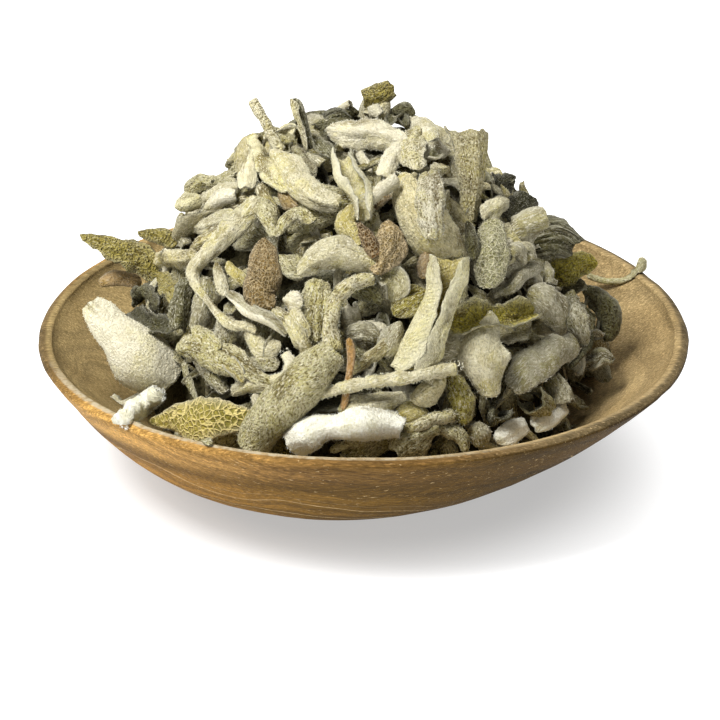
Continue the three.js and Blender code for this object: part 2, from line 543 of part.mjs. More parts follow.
function coreSolid() {
  const parts = [0, 0.7, 0.97, 0.86, 0.68, 0.4, 0];
  const bottomRows = 2;
  const profile = parts.map((part) => new THREE.Vector2(part, 0));
  return latheSolid(profile, CORE_SIDES, (part, _, angle, row) => {
    const radius = part * CORE_PART * HEAP_RADIUS;
    const x = FOOT_SHIFT + radius * Math.cos(angle);
    const y = HEAP_CENTRE_Y + radius * Math.sin(angle);
    const rise = (HEAP_TOP_Z - CORE_DEPTH - CORE_FOOT_Z) * (1 - part ** CORE_POWER);
    const floor = bowlInside(x, y) + FLOOR_GAP;
    return [x, y, row < bottomRows ? floor : Math.max(CORE_FOOT_Z + rise, floor + 2)];
  });
}

// Moves a point along the heap's normal until it lies this far out of the skin.
function toSkin(point, out) {
  for (let turn = 0; turn < 3; turn += 1) {
    const normal = skinNormal(point.x, point.y);
    point.addScaledVector(normal, -(point.z - skin(point.x, point.y)) * normal.z);
  }
  return point.addScaledVector(skinNormal(point.x, point.y), out);
}

// The k-th fill leaf: its root is in the core, and it comes out and lies along the skin.
function fillLeaf(k, random, front) {
  const part = ((k + 0.5) / FILL_LEAVES) ** 0.37;
  const around = k * 137.5 * DEG + 0.5 * random();
  const x = FOOT_SHIFT + part * HEAP_RADIUS * Math.cos(around);
  const y = HEAP_CENTRE_Y + part * HEAP_RADIUS * Math.sin(around);
  const base = new THREE.Vector3(x, y, skin(x, y));
  const normal = skinNormal(x, y);
  const heading = new THREE.Vector3(1, 0, 0).addScaledVector(normal, -normal.x).normalize()
    .applyAxisAngle(normal, 2 * Math.PI * random());
  const length = 24 + 14 * random();
  const laid = (sink) => [[-0.5, -14], [-0.35, -4], [0, 0], [0.5, -1]].map(([step, out]) => {
    const point = base.clone().addScaledVector(heading, step * length);
    return toSkin(point, out - sink);
  });
  const wide = 10 + 5 * random();
  const isOpen = random() < 0.3;
  const shape = {
    rows: 4, across: 2, wide: [3, 5, wide, 3], curl: [70 + 80 * random()],
    turn: [(isOpen ? 180 : 0) + 60 * (random() - 0.5)],
  };
  return FILL_SINKS.map((sink) => blade(laid(sink), normal, shape))
    .find((leaf) => leaf.intersect(front).volume() < FILL_OVERLAP);
}

// ---- The whole ------------------------------------------------------------------------------

const largest = (solid) => solid.decompose().sort((a, b) => b.volume() - a.volume())[0];

function boxesMeet(a, b) {
  const [first, second] = [a.boundingBox(), b.boundingBox()];
  return [0, 1, 2].every((i) => first.min[i] < second.max[i] && second.min[i] < first.max[i]);
}

// What is left of a solid when the solids before it have their room, with its loose scraps dropped.
function giveWay(solid, earlier) {
  const left = earlier.filter((other) => boxesMeet(solid, other))
    .reduce((rest, other) => rest.subtract(other), solid);
  return largest(largest(left).simplify(CLEAN));
}

function meshOf(solid, name, finish) {
  const { numProp, vertProperties, triVerts } = solid.getMesh();
  const geometry = new THREE.BufferGeometry();
  geometry.setAttribute('position', new THREE.BufferAttribute(vertProperties, numProp));
  geometry.setIndex(new THREE.BufferAttribute(triVerts, 1));
  geometry.computeVertexNormals();
  const mesh = new THREE.Mesh(geometry, new THREE.MeshStandardMaterial(finish));
  mesh.name = name;
  return mesh;
}

const bowlOfSage = new THREE.Group();
bowlOfSage.add(meshOf(bowlSolid(), 'wooden_bowl', FINISH.wood));

const taken = [bowlSolid(GAP)];
for (const [name, { tone, rows }] of namedLeaves()) {
  const solid = joined(rows.map((row) => rowSolid(row, 0)));
  bowlOfSage.add(meshOf(giveWay(solid, taken), name, FINISH[tone]));
  taken.push(...rows.map((row) => rowSolid(row, GAP)));
}

const random = randomStream(FILL_SEED);
const front = joined(taken);
const fill = Array.from({ length: FILL_LEAVES }, (_, k) => fillLeaf(k, random, front));
const packedLeaves = joined([coreSolid(), ...fill.filter((leaf) => leaf !== undefined)]);
bowlOfSage.add(meshOf(giveWay(packedLeaves, [front]), 'packed_leaves', FINISH.felt));

export default bowlOfSage;
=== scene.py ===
"""A carved wooden bowl heaped with dried sage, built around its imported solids.

Lengths in this file are millimetres until a mesh is made, and metres from there on.
"""

import math

import bmesh
import bpy
import numpy as np
from bpy.props import FloatProperty, FloatVectorProperty, IntProperty, PointerProperty
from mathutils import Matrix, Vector
from mathutils.bvhtree import BVHTree


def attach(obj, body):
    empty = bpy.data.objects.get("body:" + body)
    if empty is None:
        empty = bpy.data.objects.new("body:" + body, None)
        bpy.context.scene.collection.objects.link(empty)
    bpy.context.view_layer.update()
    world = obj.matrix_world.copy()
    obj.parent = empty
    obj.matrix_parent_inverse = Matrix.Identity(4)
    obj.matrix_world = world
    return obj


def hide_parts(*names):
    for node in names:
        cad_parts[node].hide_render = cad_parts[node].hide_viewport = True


bl_info = {
    "name": "Bowl of dried sage",
    "version": (1, 0, 0),
    "blender": (4, 5, 0),
    "location": "View3D > Sidebar > Sage",
    "description": "Builds a carved bowl heaped with dried sage leaves",
    "category": "Add Mesh",
}

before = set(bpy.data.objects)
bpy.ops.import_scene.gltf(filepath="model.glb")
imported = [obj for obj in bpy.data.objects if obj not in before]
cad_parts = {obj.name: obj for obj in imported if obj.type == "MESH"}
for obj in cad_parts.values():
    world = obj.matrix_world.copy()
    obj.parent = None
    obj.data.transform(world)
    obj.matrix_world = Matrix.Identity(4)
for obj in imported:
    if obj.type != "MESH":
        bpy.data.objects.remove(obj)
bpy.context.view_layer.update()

MM = 0.001
DEG = math.pi / 180

# ---- The bowl and the heap, as in the solids ---------------------------------------------------

RIM_RADIUS = 88.2
RIM_FRONT_BACK = 6.3
RIM_LEFT_RIGHT = 1.0
RIM_OVAL = 0.5
RIM_HEIGHT = 38.0
RIM_WARP = 1.3
WARP_FROM = 0.4
LIP_WIDTH = 0.045
FOOT_PART = 0.30
FOOT_SHIFT = 10.0
WALL_POWER = 2.2
WALL_POWER_SWING = 0.25
FLOOR_THICKNESS = 7.0
INSIDE_POWER = 2.4

LIP_OUTER_DROP = 1.5             # mm from the top of the lip down to its outer edge
LIP_INNER_DROP = 1.0
LARGE_MARK, SMALL_MARK = 13.0, 5.0
SMALL_MARK_DEPTH = 0.35
OUTSIDE, LIP, INSIDE = 0, 1, 2   # where a ring of the bowl's profile is
FOOT_RINGS = (0, 0.1, 0.2, FOOT_PART)
WALL_RINGS = 26
LIP_STEPS = 10
INSIDE_RINGS = 34

HEAP_RADIUS = 67.0
HEAP_CENTRE = (FOOT_SHIFT, 2.0)
HEAP_FOOT_Z = 28.0
HEAP_TOP_Z = 96.0
HEAP_POWER = 2.45

CORE_PART = 0.86
CORE_FOOT_Z = 20.0
CORE_DEPTH = 11.0
CORE_POWER = 3.0

# Leaves on the front are laid by sight, from a seat in front of the bowl.
SIGHT_PITCH = 25 * DEG
SIGHT_DISTANCE = 850.0
SIGHT_AIM_Z = 29.4
SIGHT_NEAR = 600.0
SIGHT_FAR = 1000.0
SIGHT_STEP = 2.0
SIGHT_HALVINGS = 12
HEAP_REACH = 14.0

FULLEST_CURL = 325               # degrees of arc that a leaf may be curled to
NARROWEST = 1.8
FLOOR_GAP = 0.8

# The fill leaves, as in the solids: their paths in parts of the length and mm out of the skin, and
# how many mm deeper they are looked for.
FILL_LEAVES = 58
FILL_SEED = 20
FILL_STEPS = ((-0.5, -14), (-0.35, -4), (0, 0), (0.5, -1))
FILL_SINKS = (0, 4, 8)
FILL_TONES = ("felt", "pale", "felt", "cream", "pale", "felt", "dark")

# What the random streams start from, and where each kind of leaf starts to be numbered.
FILL_WOOL_SEED = 23
LARGE_WOOL_SEED = 11
BETWEEN_WOOL_SEED = 17
SMALL_SEED = 31
TUFT_SEED = 47
FIRST_BETWEEN, FIRST_FILL, FIRST_SMALL = 300, 500, 900

# Small leaves, in mm: how far out of the skin they lie, how deep into the bowl's wall a path may go,
# and how often each tone comes.
COARSE_STEP = 1.1                # mm, the size of a face on a fill leaf or a small leaf
DEEPEST_IN_WALL = 6.0
SMALL_LIFTS = {"front": (-9, -2.5), "back": (-8, 0)}
SMALL_LENGTHS = (8, 24)
SMALL_TILT = 5
SMALL_BOW = 3
NARROW_CHANCE = 0.4
NARROW_WIDTHS = (1.8, 3.4)
OTHER_WIDTHS = (3.5, 7.5)
SMALL_TONES = {"felt": 0.32, "pale": 0.24, "white": 0.14, "cream": 0.15, "olive": 0.03, "dark": 0.09,
               "yellow": 0.01, "brown": 0.02}

# Wool tufts, in mm.
TUFT_LENGTHS = (0.5, 1.6)        # times the length that the leaf asks for
TUFT_WIDTHS = (0.045, 0.085)
TUFTS_A_PIECE = 45000

# The stage, in metres. A light has a name, a place, its share of the power and a size.
FLOOR_SIZE = 4.0
# The floor's glow is a painted light, and it is weaker under the bowl, a painted soft shadow: the
# middle of that shadow, the distances over which the glow rises out of it, and the share of the glow
# left in it.
PAINTED_SHADOW_CENTRE = (0.014, 0.004)
PAINTED_SHADOW_REACH = (0.050, 0.095)
GLOW_IN_PAINTED_SHADOW = 0.45
LIGHT_AIM = (0.01, 0.0, 0.04)
LIGHTS = (("key", (-0.44, -0.32, 1.00), 1.0, 0.42), ("rim", (0.25, 0.70, 0.80), 0.22, 0.5))
SENSOR_WIDTH = 36.0
CLIP_END = 20.0

TO_SEAT = np.array([0.0, -math.cos(SIGHT_PITCH), math.sin(SIGHT_PITCH)])
SIGHT_UP = np.array([0.0, math.sin(SIGHT_PITCH), math.cos(SIGHT_PITCH)])
AIM = np.array([FOOT_SHIFT, 0.0, SIGHT_AIM_Z])
SEAT = AIM + SIGHT_DISTANCE * TO_SEAT
SIGHT_SPAN = 196.7               # mm of the board through the aim point that the view takes in

# Attributes that the finishes read.
SHEET = "sheet"                  # mm across, mm along, +1 on the back and -1 on the open side
LOOK = "look"                    # a leaf's own tint, nearness to its margin, and painted shade in its creases
SHADE = "shade"                  # a leaf's colour, on its back or on its open side
WOOL_COLOUR = "wool_colour"
CARVE = "carve"                  # how far over the lip, and how far out from the bowl's middle

# ---- The leaves ----------------------------------------------------------------------------------


def stalk(tone, path, wide, **looks):
    """A round woolly stalk along its path."""
    return dict(looks, tone=tone, path=path, wide=wide, stalk=True)


def leaf(tone, path, wide, curl=(110,), turn=(0,), **looks):
    """A curled leaf; looks holds what only this leaf has, such as its ends and its tears.

    path is a list of (u, v, lift): to the right and up as seen from the seat, and out of the heap
    towards it. wide is the width as seen, curl the degrees of arc, and turn how the leaf is turned
    about its path: 0 shows its back and 180 its open side. Lists run along the path. level is the
    point whose distance from the seat the whole path takes; closed adds to the curl along the path,
    fullest is the most curl that is left of it, and nearer is in mm towards the seat.
    """
    return dict(looks, tone=tone, path=path, wide=wide, curl=curl, turn=turn)


# The large leaves of the front and the top. What stands under one name is one leaf.
LEAVES = {
    "front_roll_leaf": [
        leaf("felt", [(-31, -24, 6), (-24, -15, 7), (-15.5, -5.5, 8), (-7, 3, 7)],
             [8.5, 11, 11.2, 8], curl=[230, 280, 290, 220], turn=[-20], ends=(0.75, 0.4),
             tear=(0.3, 0.3), tint=0.75, pleats=0.35, creases=0.3, ragged=0.05, crumple=0.05,
             fold=0, roll=0.1),
        stalk("felt", [(-7.5, 2, 7), (-8, 9.5, 7), (-6.5, 16, 7), (-2.5, 20.5, 7), (4, 22.5, 5)],
              [5, 4, 3.8, 3.8, 3.2], back="pale", tint=0.8, wool=1.6)],
    "white_tube_leaf": [
        leaf("white",
             [(-18.5, -23.5, 4), (-13, -20, 5), (-7, -18.5, 6), (1.5, -17.5, 6), (10.5, -18, 5)],
             [6.6, 8.4, 5.8, 8.2, 6.4], curl=[325], ends=(0.3, 0.1), tear=(0.4, 1.2), back="snow",
             tint=0.95, wool=5.5, pleats=0.5, creases=0.6, crumple=0.22, rim=0.2, fold=0.1,
             roll=0)],
    "forked_leaf": [
        leaf("felt", [(9, -25.5, 4), (14, -21.5, 5), (21, -18.5, 6)], [5, 9.5, 5], ragged=0.5,
             tear=(1.2, 0.6), ends=(0.4, 0.3), tint=0.55),
        stalk("felt", [(12, -19.5, 5), (19, -16.5, 6), (26, -15, 5)], [2.8, 3.4, 3.6], back="pale",
              wool=2.2, tint=0.8)],
    "woolly_twig": [
        stalk("pale", [(-11, -9.5, 6), (0, -6.5, 8), (14, -4.5, 10), (26.5, -2, 10)],
              [2.2, 3.2, 3.3, 3.2], tint=0.95, wool=2.6, crinkle=0.35)],
    "paper_strip": [
        leaf("tan", [(-3, 6, 8), (-2.5, -0.5, 8), (-3.5, -7, 7), (-4.5, -13.5, 5)],
             [2.2, 2.2, 1.9, 1.8], curl=[40], turn=[20], ends=(0.9, 0.9), tint=0.8, pleats=0.2,
             creases=0, loose=0.2)],
    "yellow_net_leaf": [
        leaf("yellow", [(-57, -17, 3), (-48.5, -16.5, 5), (-39.5, -16, 6), (-29, -15, 4)],
             [1.2, 7, 12.8, 9, 3], curl=[60], ends=(0.8, 0.8), tear=(0.2, 0.2), ragged=0.2, tint=1,
             pleats=0.4, creases=0, rib=0.15, finish="yellow", rim=1, crumple=0.08, fold=0.1)],
    "cone_leaf": [
        leaf("pale", [(-73.5, 15.5, 3), (-66.5, 8, 6), (-59.5, 0.5, 8), (-52, -6.5, 5)],
             [6.5, 11, 16.5, 14], curl=[130, 150, 160, 150], turn=[0, -8, -8, 0], level=2,
             ends=(0.35, 0.7), tear=(0.4, 0.3), tint=1, back="white", finish="white", ragged=0.04,
             pleats=0.35, creases=0.3, wool=1.8, crumple=0.03, fold=0.12, roll=0.1, loose=0.4),
        stalk("pale", [(-55, -9, 5), (-59.5, -12.5, 5), (-65.5, -17, 3)], [4.4, 5.2, 4.4],
              back="snow", wool=3, crinkle=0.4, tint=1, finish="white")],
    "fork_leaf": [
        leaf("felt",
             [(-49.5, 2.5, 4), (-42.5, 3, 6), (-35.5, 0, 6), (-30, -3.5, 6), (-21.5, -8, 4)],
             [5, 9, 8.5, 5, 2.8], curl=[120], tint=0.9, ragged=0.3, pleats=1.3, creases=1.2),
        leaf("felt", [(-45, 8.5, 5), (-42, 5, 6), (-38, 2.5, 6)], [3.5, 6, 5], tint=0.9,
             ragged=0.35, pleats=1.2)],
    "brown_leaf": [
        leaf("brown", [(-26, 33, 5), (-26.5, 25, 7), (-27.5, 18, 6), (-24.5, 13.5, 4)],
             [5, 9, 8.5, 4], tint=0.6, ragged=0.2, tear=(0.3, 0.6), crumple=0.2)],
    "bent_leaf": [
        leaf("pale",
             [(-28, 44, 4), (-34.5, 36.5, 7), (-45, 25, 7), (-41.5, 16.5, 7), (-36, 10.5, 7),
              (-28, 8, 5)],
             [6.4, 6, 4, 2.4, 2.6, 2.2], curl=[130], tint=0.85, ragged=0.1, pleats=1.2, creases=1.2,
             ends=(0.3, 0.8), wool=1.2)],
    "sibling_leaf": [
        leaf("felt", [(-30.5, 44, 3), (-26.5, 42, 4), (-24.5, 38, 4), (-23.5, 33.5, 3)],
             [4, 5, 4, 3], curl=[120], tint=0.8)],
    "upright_roll_leaf": [
        leaf("felt", [(-47.5, 22, 3), (-49, 15.5, 4), (-50, 8, 3)], [4, 5.4, 4.4], curl=[210],
             tint=0.35, ragged=0.3, pleats=1.3, back="dark")],
    "grey_upright_leaf": [
        leaf("felt", [(-41.5, 22, 2), (-43, 15.5, 4), (-45, 8, 2)], [4.5, 6.4, 4.6], curl=[150],
             turn=[20], tint=0.5, back="grey", finish="pale")],
    "split_leaf": [
        leaf("cream", [(-55, 27, 3), (-49.5, 27.5, 4), (-43.5, 29, 3)], [4.4, 5.6, 4], curl=[130],
             turn=[30], tint=0.9, open="tan", ends=(0.1, 0.7), tear=(0.8, 0.2), pleats=1.4)],
    "pointed_olive_leaf": [
        leaf("olive", [(-76.5, 34, 0), (-67.5, 31, 2), (-60.5, 28, 3), (-56, 22, 3)],
             [1.8, 7, 9.4, 5], curl=[70], turn=[-20], level=2, ragged=0.22, tint=0.9,
             tear=(0.1, 0.6), ends=(0.9, 0.6), crumple=0.2)],
    "back_olive_leaf": [
        leaf("olive", [(-60.5, 35, 0), (-55, 34, 1), (-50, 31, 2)], [2.5, 5, 4.4], curl=[70],
             level=2, tint=0.5, ragged=0.25)],
    "flat_tan_strip": [
        leaf("tan", [(-71.5, 21, 1), (-66.5, 22.5, 1.5), (-60, 21, 1.5)], [2.6, 4.4, 3.2],
             curl=[50], level=2, back="rose", ends=(0.5, 0.3), tear=(0.5, 0.5), tint=1,
             pleats=0.8)],
    "dark_left_leaf": [
        leaf("dark", [(-61.5, 14.5, 2), (-59, 18, 3), (-55, 14.5, 2)], [4, 6.4, 4.6], curl=[100],
             turn=[40], tint=0.2, ragged=0.4)],
    "yellow_lobe_leaf": [
        leaf("cream", [(-50, 42, 0), (-47, 43, 2), (-43.5, 44.5, 2)], [4, 6, 4.6], tint=0.95,
             back="butter", wool=1.2)],
    "grey_back_lobe": [
        leaf("felt", [(-48, 45.5, -1), (-44.5, 48, 0), (-39, 48.5, 1), (-33.5, 48, 1)],
             [3.4, 5, 4.6, 3], tint=0.7)],
    "left_spike": [
        leaf("felt", [(-29.5, 71, 0), (-27, 67, 1), (-24.5, 62.5, 1), (-21.5, 57, 2)],
             [1.8, 2.2, 2.5, 3], curl=[170], turn=[-30], level=3, tint=0.95, ends=(0.4, 0.6),
             back="pale", creases=0.9, loose=0.3, crumple=0.1)],
    "middle_spike": [
        leaf("felt", [(-17.5, 71, 0), (-16.5, 67, 1), (-15, 62.5, 1), (-13.5, 57, 2)],
             [2, 3.4, 3.2, 3], curl=[220], turn=[120], level=3, tint=0.5, back="pale", open="dark",
             ends=(0.6, 0.6), creases=1.2, loose=0.3, crumple=0.15)],
    "arched_top_leaf": [
        leaf("white", [(-28, 61, 1), (-29.5, 57, 3), (-30.5, 52, 3), (-31.5, 46.5, 3)],
             [3.4, 5.4, 5.8, 4.6], curl=[140], tint=0.85, back="pale", pleats=1.2)],
    "ridged_twin_leaf": [
        leaf("cream", [(-29, 60.5, 2), (-27.5, 55.5, 4), (-23.5, 50.5, 5), (-18.5, 46.5, 4)],
             [4, 5.4, 5.6, 4], curl=[150], turn=[-20], tint=1, back="butter", pleats=2, creases=1.6,
             ragged=0.1, crumple=0.14, fold=0.4)],
    "open_top_tube": [
        leaf("pale",
             [(-23, 56, 3), (-20, 52.5, 6), (-16.5, 48, 6), (-12.5, 44.5, 5), (-5.5, 42.5, 4)],
             [4.4, 7.8, 8.2, 6.4, 4.6], curl=[150], tint=0.9, pleats=1.1, creases=1, ragged=0.1,
             ends=(0.5, 0.6), crumple=0.14, fold=0.35)],
    "crest_leaf": [
        leaf("white", [(-8.5, 63, 1), (-3, 62, 2), (2.5, 62, 2), (8, 61, 2), (12.5, 58.5, 1)],
             [5, 9, 8.8, 7, 4.6], curl=[100], tint=0.85, wool=2.8, pleats=1.3, creases=1,
             ragged=0.25)],
    "top_olive_leaf": [
        leaf("olive", [(1, 71, 0), (5.5, 72.5, 1), (9, 74.5, 0)], [4.8, 6.4, 5.2], curl=[60],
             level=1, tint=0.85, ends=(0, 0), tear=(0.5, 0.5), ragged=0.12, crumple=0.12),
        leaf("olive", [(7, 71.5, 0), (6, 68.5, 0.5), (5, 64.5, 1)], [3, 4, 3.4], curl=[120],
             level=1, tint=0.9, back="pale", finish="pale", wool=1.5),
        leaf("olive", [(1.5, 71, 0), (1, 68.5, 0.5), (2, 64.5, 1)], [3.4, 4.2, 4], curl=[120],
             turn=[30], level=1, tint=0.6, back="grey", finish="pale")],
    "right_crest_leaf": [
        leaf("pale", [(13, 65.5, 0), (16.5, 63, 1), (19.5, 59, 1)], [4.6, 7.4, 5], curl=[120],
             tint=1, back="white", wool=1.8)],
    "speckled_leaf": [
        leaf("cream", [(16.5, 63, 2), (14.5, 59.5, 4), (14.5, 55.5, 4), (15, 52, 4)],
             [4, 7.4, 7.4, 4], curl=[90], tint=0.9, finish="felt", back="pale", ragged=0.45,
             tear=(1, 1), pleats=1.4, wool=1.5)],
    "white_top_lobe": [
        leaf("white", [(11.5, 58.5, 1), (8, 54.5, 3), (5.5, 50, 3)], [4, 5, 4.2], curl=[130],
             tint=0.95, wool=1.8)],
    "yellow_trough_leaf": [
        leaf("cream", [(-5, 56.5, 4), (-3, 51, 7), (-1, 47, 7), (0.5, 42.5, 7), (1.5, 38, 5)],
             [5, 6.8, 6.8, 5, 3.8], curl=[240, 285, 300, 310, 250], turn=[180], back="butter",
             open="butter", tint=1, ends=(0.5, 0.4), tear=(0.2, 0.8), finish="cream", pleats=0.6,
             rim=1, fold=0, roll=0, crumple=0.12)],
    "brown_bud": [
        leaf("brown", [(8, 37.5, 5), (8, 31, 7), (4, 23.5, 5)], [5, 10, 5], curl=[130], tint=0.9,
             back="rose", ragged=0.15)],
    "middle_leaf": [
        leaf("pale", [(-16.5, 23.5, 4), (-11, 27.5, 6), (-4, 29, 6), (4.5, 26, 4)],
             [4, 8.2, 8.6, 6], curl=[120], tint=0.75, ragged=0.1, pleats=1.1, creases=1,
             crumple=0.18)],
    "hooded_leaf": [
        leaf("felt", [(-23.5, 33.5, 3), (-20.5, 38.5, 5), (-16.5, 40.5, 5), (-12.5, 37.5, 4)],
             [3.4, 4.6, 4.4, 3.6], curl=[150], turn=[-50], tint=0.85, ragged=0.2, open="dark",
             pleats=1.2)],
    "crinkled_leaf": [
        leaf("felt", [(-22, 28, 2), (-18.5, 26, 3), (-13.5, 26, 2)], [4, 7, 4.5], tint=0.6,
             ragged=0.3, pleats=1.5)],
    "broad_pale_leaf": [
        leaf("pale", [(-5.5, -13.5, 3), (1.5, -13, 5), (13, -11, 3)], [4, 7.4, 5], curl=[100],
             tint=0.8, pleats=2, creases=1.5)],
    "heart_leaf": [
        leaf("felt", [(-11, 21.5, 2), (-12, 16, 4), (-12, 5, 3)], [7, 9.4, 3.6], curl=[100],
             tint=0.9, ragged=0.2, pleats=1.1, creases=1.2, ends=(0.6, 0.8))],
    "scoop_leaf": [
        leaf("cream", [(4.5, 24, 2), (9.5, 22, 4), (9.5, 16, 2)], [4, 7.4, 5.6], curl=[150],
             turn=[150], tint=0.7, open="felt", ragged=0.1, rim=1)],
    "centre_strap_leaf": [
        leaf("cream", [(-3, -4, 3), (3.5, 1, 5), (11, 7, 3)], [2.6, 3.8, 3.4], curl=[120],
             tint=0.75, pleats=1.6)],
    "trumpet_leaf": [
        leaf("cream", [(14, -4, 6), (17.5, 5, 8), (21.5, 15.5, 9), (23.5, 23, 9), (24.5, 28.5, 7)],
             [12, 10, 8.8, 10, 9.4], curl=[325, 325, 325, 300, 250],
             turn=[-178, -182, -186, -190, -194], fullest=344, closed=(19, 19, 19, -6, -70),
             nearer=(0, 0, 1.5, 6, 9), open="gold", back="butter", tint=1, ends=(0.2, 0.95),
             tear=(0.5, 0.3), pleats=0.7, creases=0.7, ragged=0.05, rim=0.6, crumple=0.08, fold=0,
             roll=-0.05)],
    "cream_leaf": [
        leaf("cream", [(12, 50.5, 2), (14, 43, 5), (18, 36.5, 6), (23.5, 31.5, 6), (28.5, 26.5, 3)],
             [6, 9.5, 13, 12.5, 6], curl=[120], tint=1, ragged=0.08, pleats=0.7, wool=1.2,
             crumple=0.12, fold=0.3, nearer=(0, 0, -1, -4, -6))],
    "tall_tube_leaf": [
        leaf("cream", [(30.5, 62.5, 0), (31, 56, 2), (31, 49.5, 3), (30.5, 43, 3), (30.5, 38, 3)],
             [9.8, 8.8, 7.6, 5.4, 4], curl=[210, 240, 240, 220, 190], turn=[-25], level=2,
             tint=0.35, finish="felt", ends=(0, 0.6), tear=(0.7, 0.2), pleats=0.7, creases=0.6,
             crumple=0.12, fold=0.1, ragged=0.05)],
    "white_roll_leaf": [
        leaf("white", [(19.5, 51.5, 7), (19.5, 45.5, 11), (19.5, 39, 11), (20, 33, 9)],
             [6, 7.6, 7, 5.4], curl=[170], turn=[10], tint=0.8, finish="felt", ends=(0.2, 0.8),
             tear=(1.6, 0.2), pleats=1, creases=1.2, ragged=0.06, crumple=0.2, fold=0.1)],
    "dark_ragged_leaf": [
        leaf("olive", [(39.5, 38.5, -1), (43.5, 42, 1), (47, 45, 0)], [4, 8, 5.6], curl=[80],
             back="black", finish="olive", ragged=0.4, tear=(0.5, 1.5), tint=0.4),
        leaf("olive", [(37, 48, 0), (40, 48, 0), (43, 49, -1)], [7, 6, 3.4], curl=[80],
             back="black", finish="olive", ragged=0.4, tear=(0.5, 1.5), tint=0.4)],
    "grey_net_leaf": [
        leaf("felt", [(35.5, 38, 2), (36, 33, 5), (36, 27.5, 5), (34.5, 19.5, 4)], [5.5, 7.8, 9, 6],
             curl=[120], finish="web", tint=0.8, ragged=0.15, wool=1.6, creases=1.4,
             ends=(0.7, 0.8))],
    "brush_leaf": [
        leaf("felt", [(39, 33.5, 2), (43.5, 36, 4), (51.5, 38.5, 4)], [6, 9, 6], curl=[130],
             level=1, back="grey", finish="pale", tint=0.9, ends=(0.3, 0.7)),
        leaf("felt", [(44.5, 31.5, 2), (49.5, 33, 3), (54.5, 33.5, 3), (59.5, 31, 1)],
             [6, 10.5, 10.5, 6], curl=[100], level=1, back="dark", finish="streak", tint=0.7,
             ends=(0.5, 0.2), tear=(0.3, 2), ragged=0.3, pleats=2.2)],
    "right_olive_leaf": [
        leaf("olive", [(51.5, 21, 5), (57, 24.5, 7), (64.5, 26.5, 4)], [6, 8.6, 5], curl=[100],
             level=1, back="moss", finish="olive", tint=1, ragged=0.12)],
    "bare_stem": [
        stalk("felt", [(62, 23, 2), (68.5, 21.5, 3), (75, 22.5, 3), (77.5, 28, 3)],
              [1.8, 2, 2.8, 3], level=1, tint=0.7, finish="pale", back="felt", wool=0.3)],
    "grey_lobe_leaf": [
        leaf("felt", [(45.5, 18.5, 2), (49.5, 16.5, 5), (52.5, 13.5, 5), (54, 10, 3)],
             [4.6, 9.4, 10.4, 6], curl=[120], back="grey", finish="pale", tint=0.8, pleats=0.5,
             creases=0.5, crumple=0.15)],
    "speckled_right_leaf": [
        leaf("felt", [(58, 18, 3), (58.5, 13, 5), (59.5, 8, 5), (61, 3.5, 3)], [5, 6.4, 6, 4],
             curl=[130], back="grey", tint=0.8)],
    "wavy_leaf": [
        leaf("olive", [(23.5, 11, 4), (32, 11.5, 6), (40, 12, 6), (48, 13.5, 4)], [9, 9.5, 8, 5.5],
             curl=[130], turn=[150], wave=1.2, back="straw", open="moss", finish="olive", tint=1,
             crumple=0.25, ragged=0.3, tear=(0.5, 1), rim=0.8)],
    "spade_leaf": [
        leaf("pale", [(35.5, 12.5, 5), (34, 5.5, 8), (34, -1, 8), (35.5, -10, 5)],
             [4, 10.5, 13.2, 5.6], curl=[90], tint=1, ragged=0.16, pleats=0.6, creases=0.6,
             ends=(0.7, 0.7), crumple=0.14, fold=0.35)],
    "grey_slab_leaf": [
        leaf("felt", [(41, -8, 4), (46, -2.5, 6), (52.5, 2, 6), (59, 4.5, 3)], [6.4, 9.6, 9.2, 6],
             curl=[70], back="grey", finish="pale", tint=0.85, pleats=0.3, creases=0.2, ragged=0.06,
             ends=(0.6, 0.35), rib=0, crumple=0.06, fold=0.05)],
    "right_crescent_leaf": [
        leaf("dark", [(61.5, 20, 1), (65.5, 16, 2), (68, 11, 2), (67, 5, 1)], [3.4, 6.8, 6.6, 3],
             curl=[120], level=1, tint=0.6, ends=(0.9, 0.9), rim=0.6, pleats=0.5)],
    "folded_right_leaf": [
        leaf("felt", [(59.5, -1.5, 3), (63.5, 0, 4), (66, 1.5, 4), (69.5, 0.5, 2)],
             [3.6, 5.6, 6, 3.6], curl=[150], turn=[-30], level=1, back="grey", finish="pale",
             tint=0.6, pleats=1.6, creases=1.4)],
    "ring_roll_leaf": [
        leaf("felt", [(50.5, -15, -2), (49, -12.5, 2), (47, -11, 5)], [5.4, 6.6, 7], curl=[310],
             tint=0.5, ends=(0, 0), tear=(0.3, 0.5), ragged=0.05, crumple=0.08, fold=0, roll=0),
        leaf("felt", [(52.5, -4.5, 2), (54.5, -8.5, 4), (55.5, -12, 5)], [4.6, 5.8, 6.2],
             curl=[290], tint=0.8, back="grey", finish="pale", ends=(0.3, 0), tear=(0.3, 0.5),
             crumple=0.1, fold=0, roll=0)],
    "right_chip": [
        leaf("white", [(47.5, -19, 3), (51.5, -15.5, 4.5), (56, -12.5, 4)], [4.6, 6.4, 5],
             curl=[30], back="snow", finish="white", tint=1, crumple=0.15, ends=(0.6, 0.2),
             tear=(0.4, 0.4), ragged=0.1, pleats=0.5, creases=0.5)],
    "left_chip": [
        leaf("white", [(37, -22, 2), (41, -20, 3.5), (45.5, -17.5, 3)], [3.4, 6.4, 4.6], curl=[30],
             back="snow", finish="white", tint=1, crumple=0.15, ends=(0.6, 0.2), tear=(0.4, 0.4),
             ragged=0.1, pleats=0.5, creases=0.5)],
}

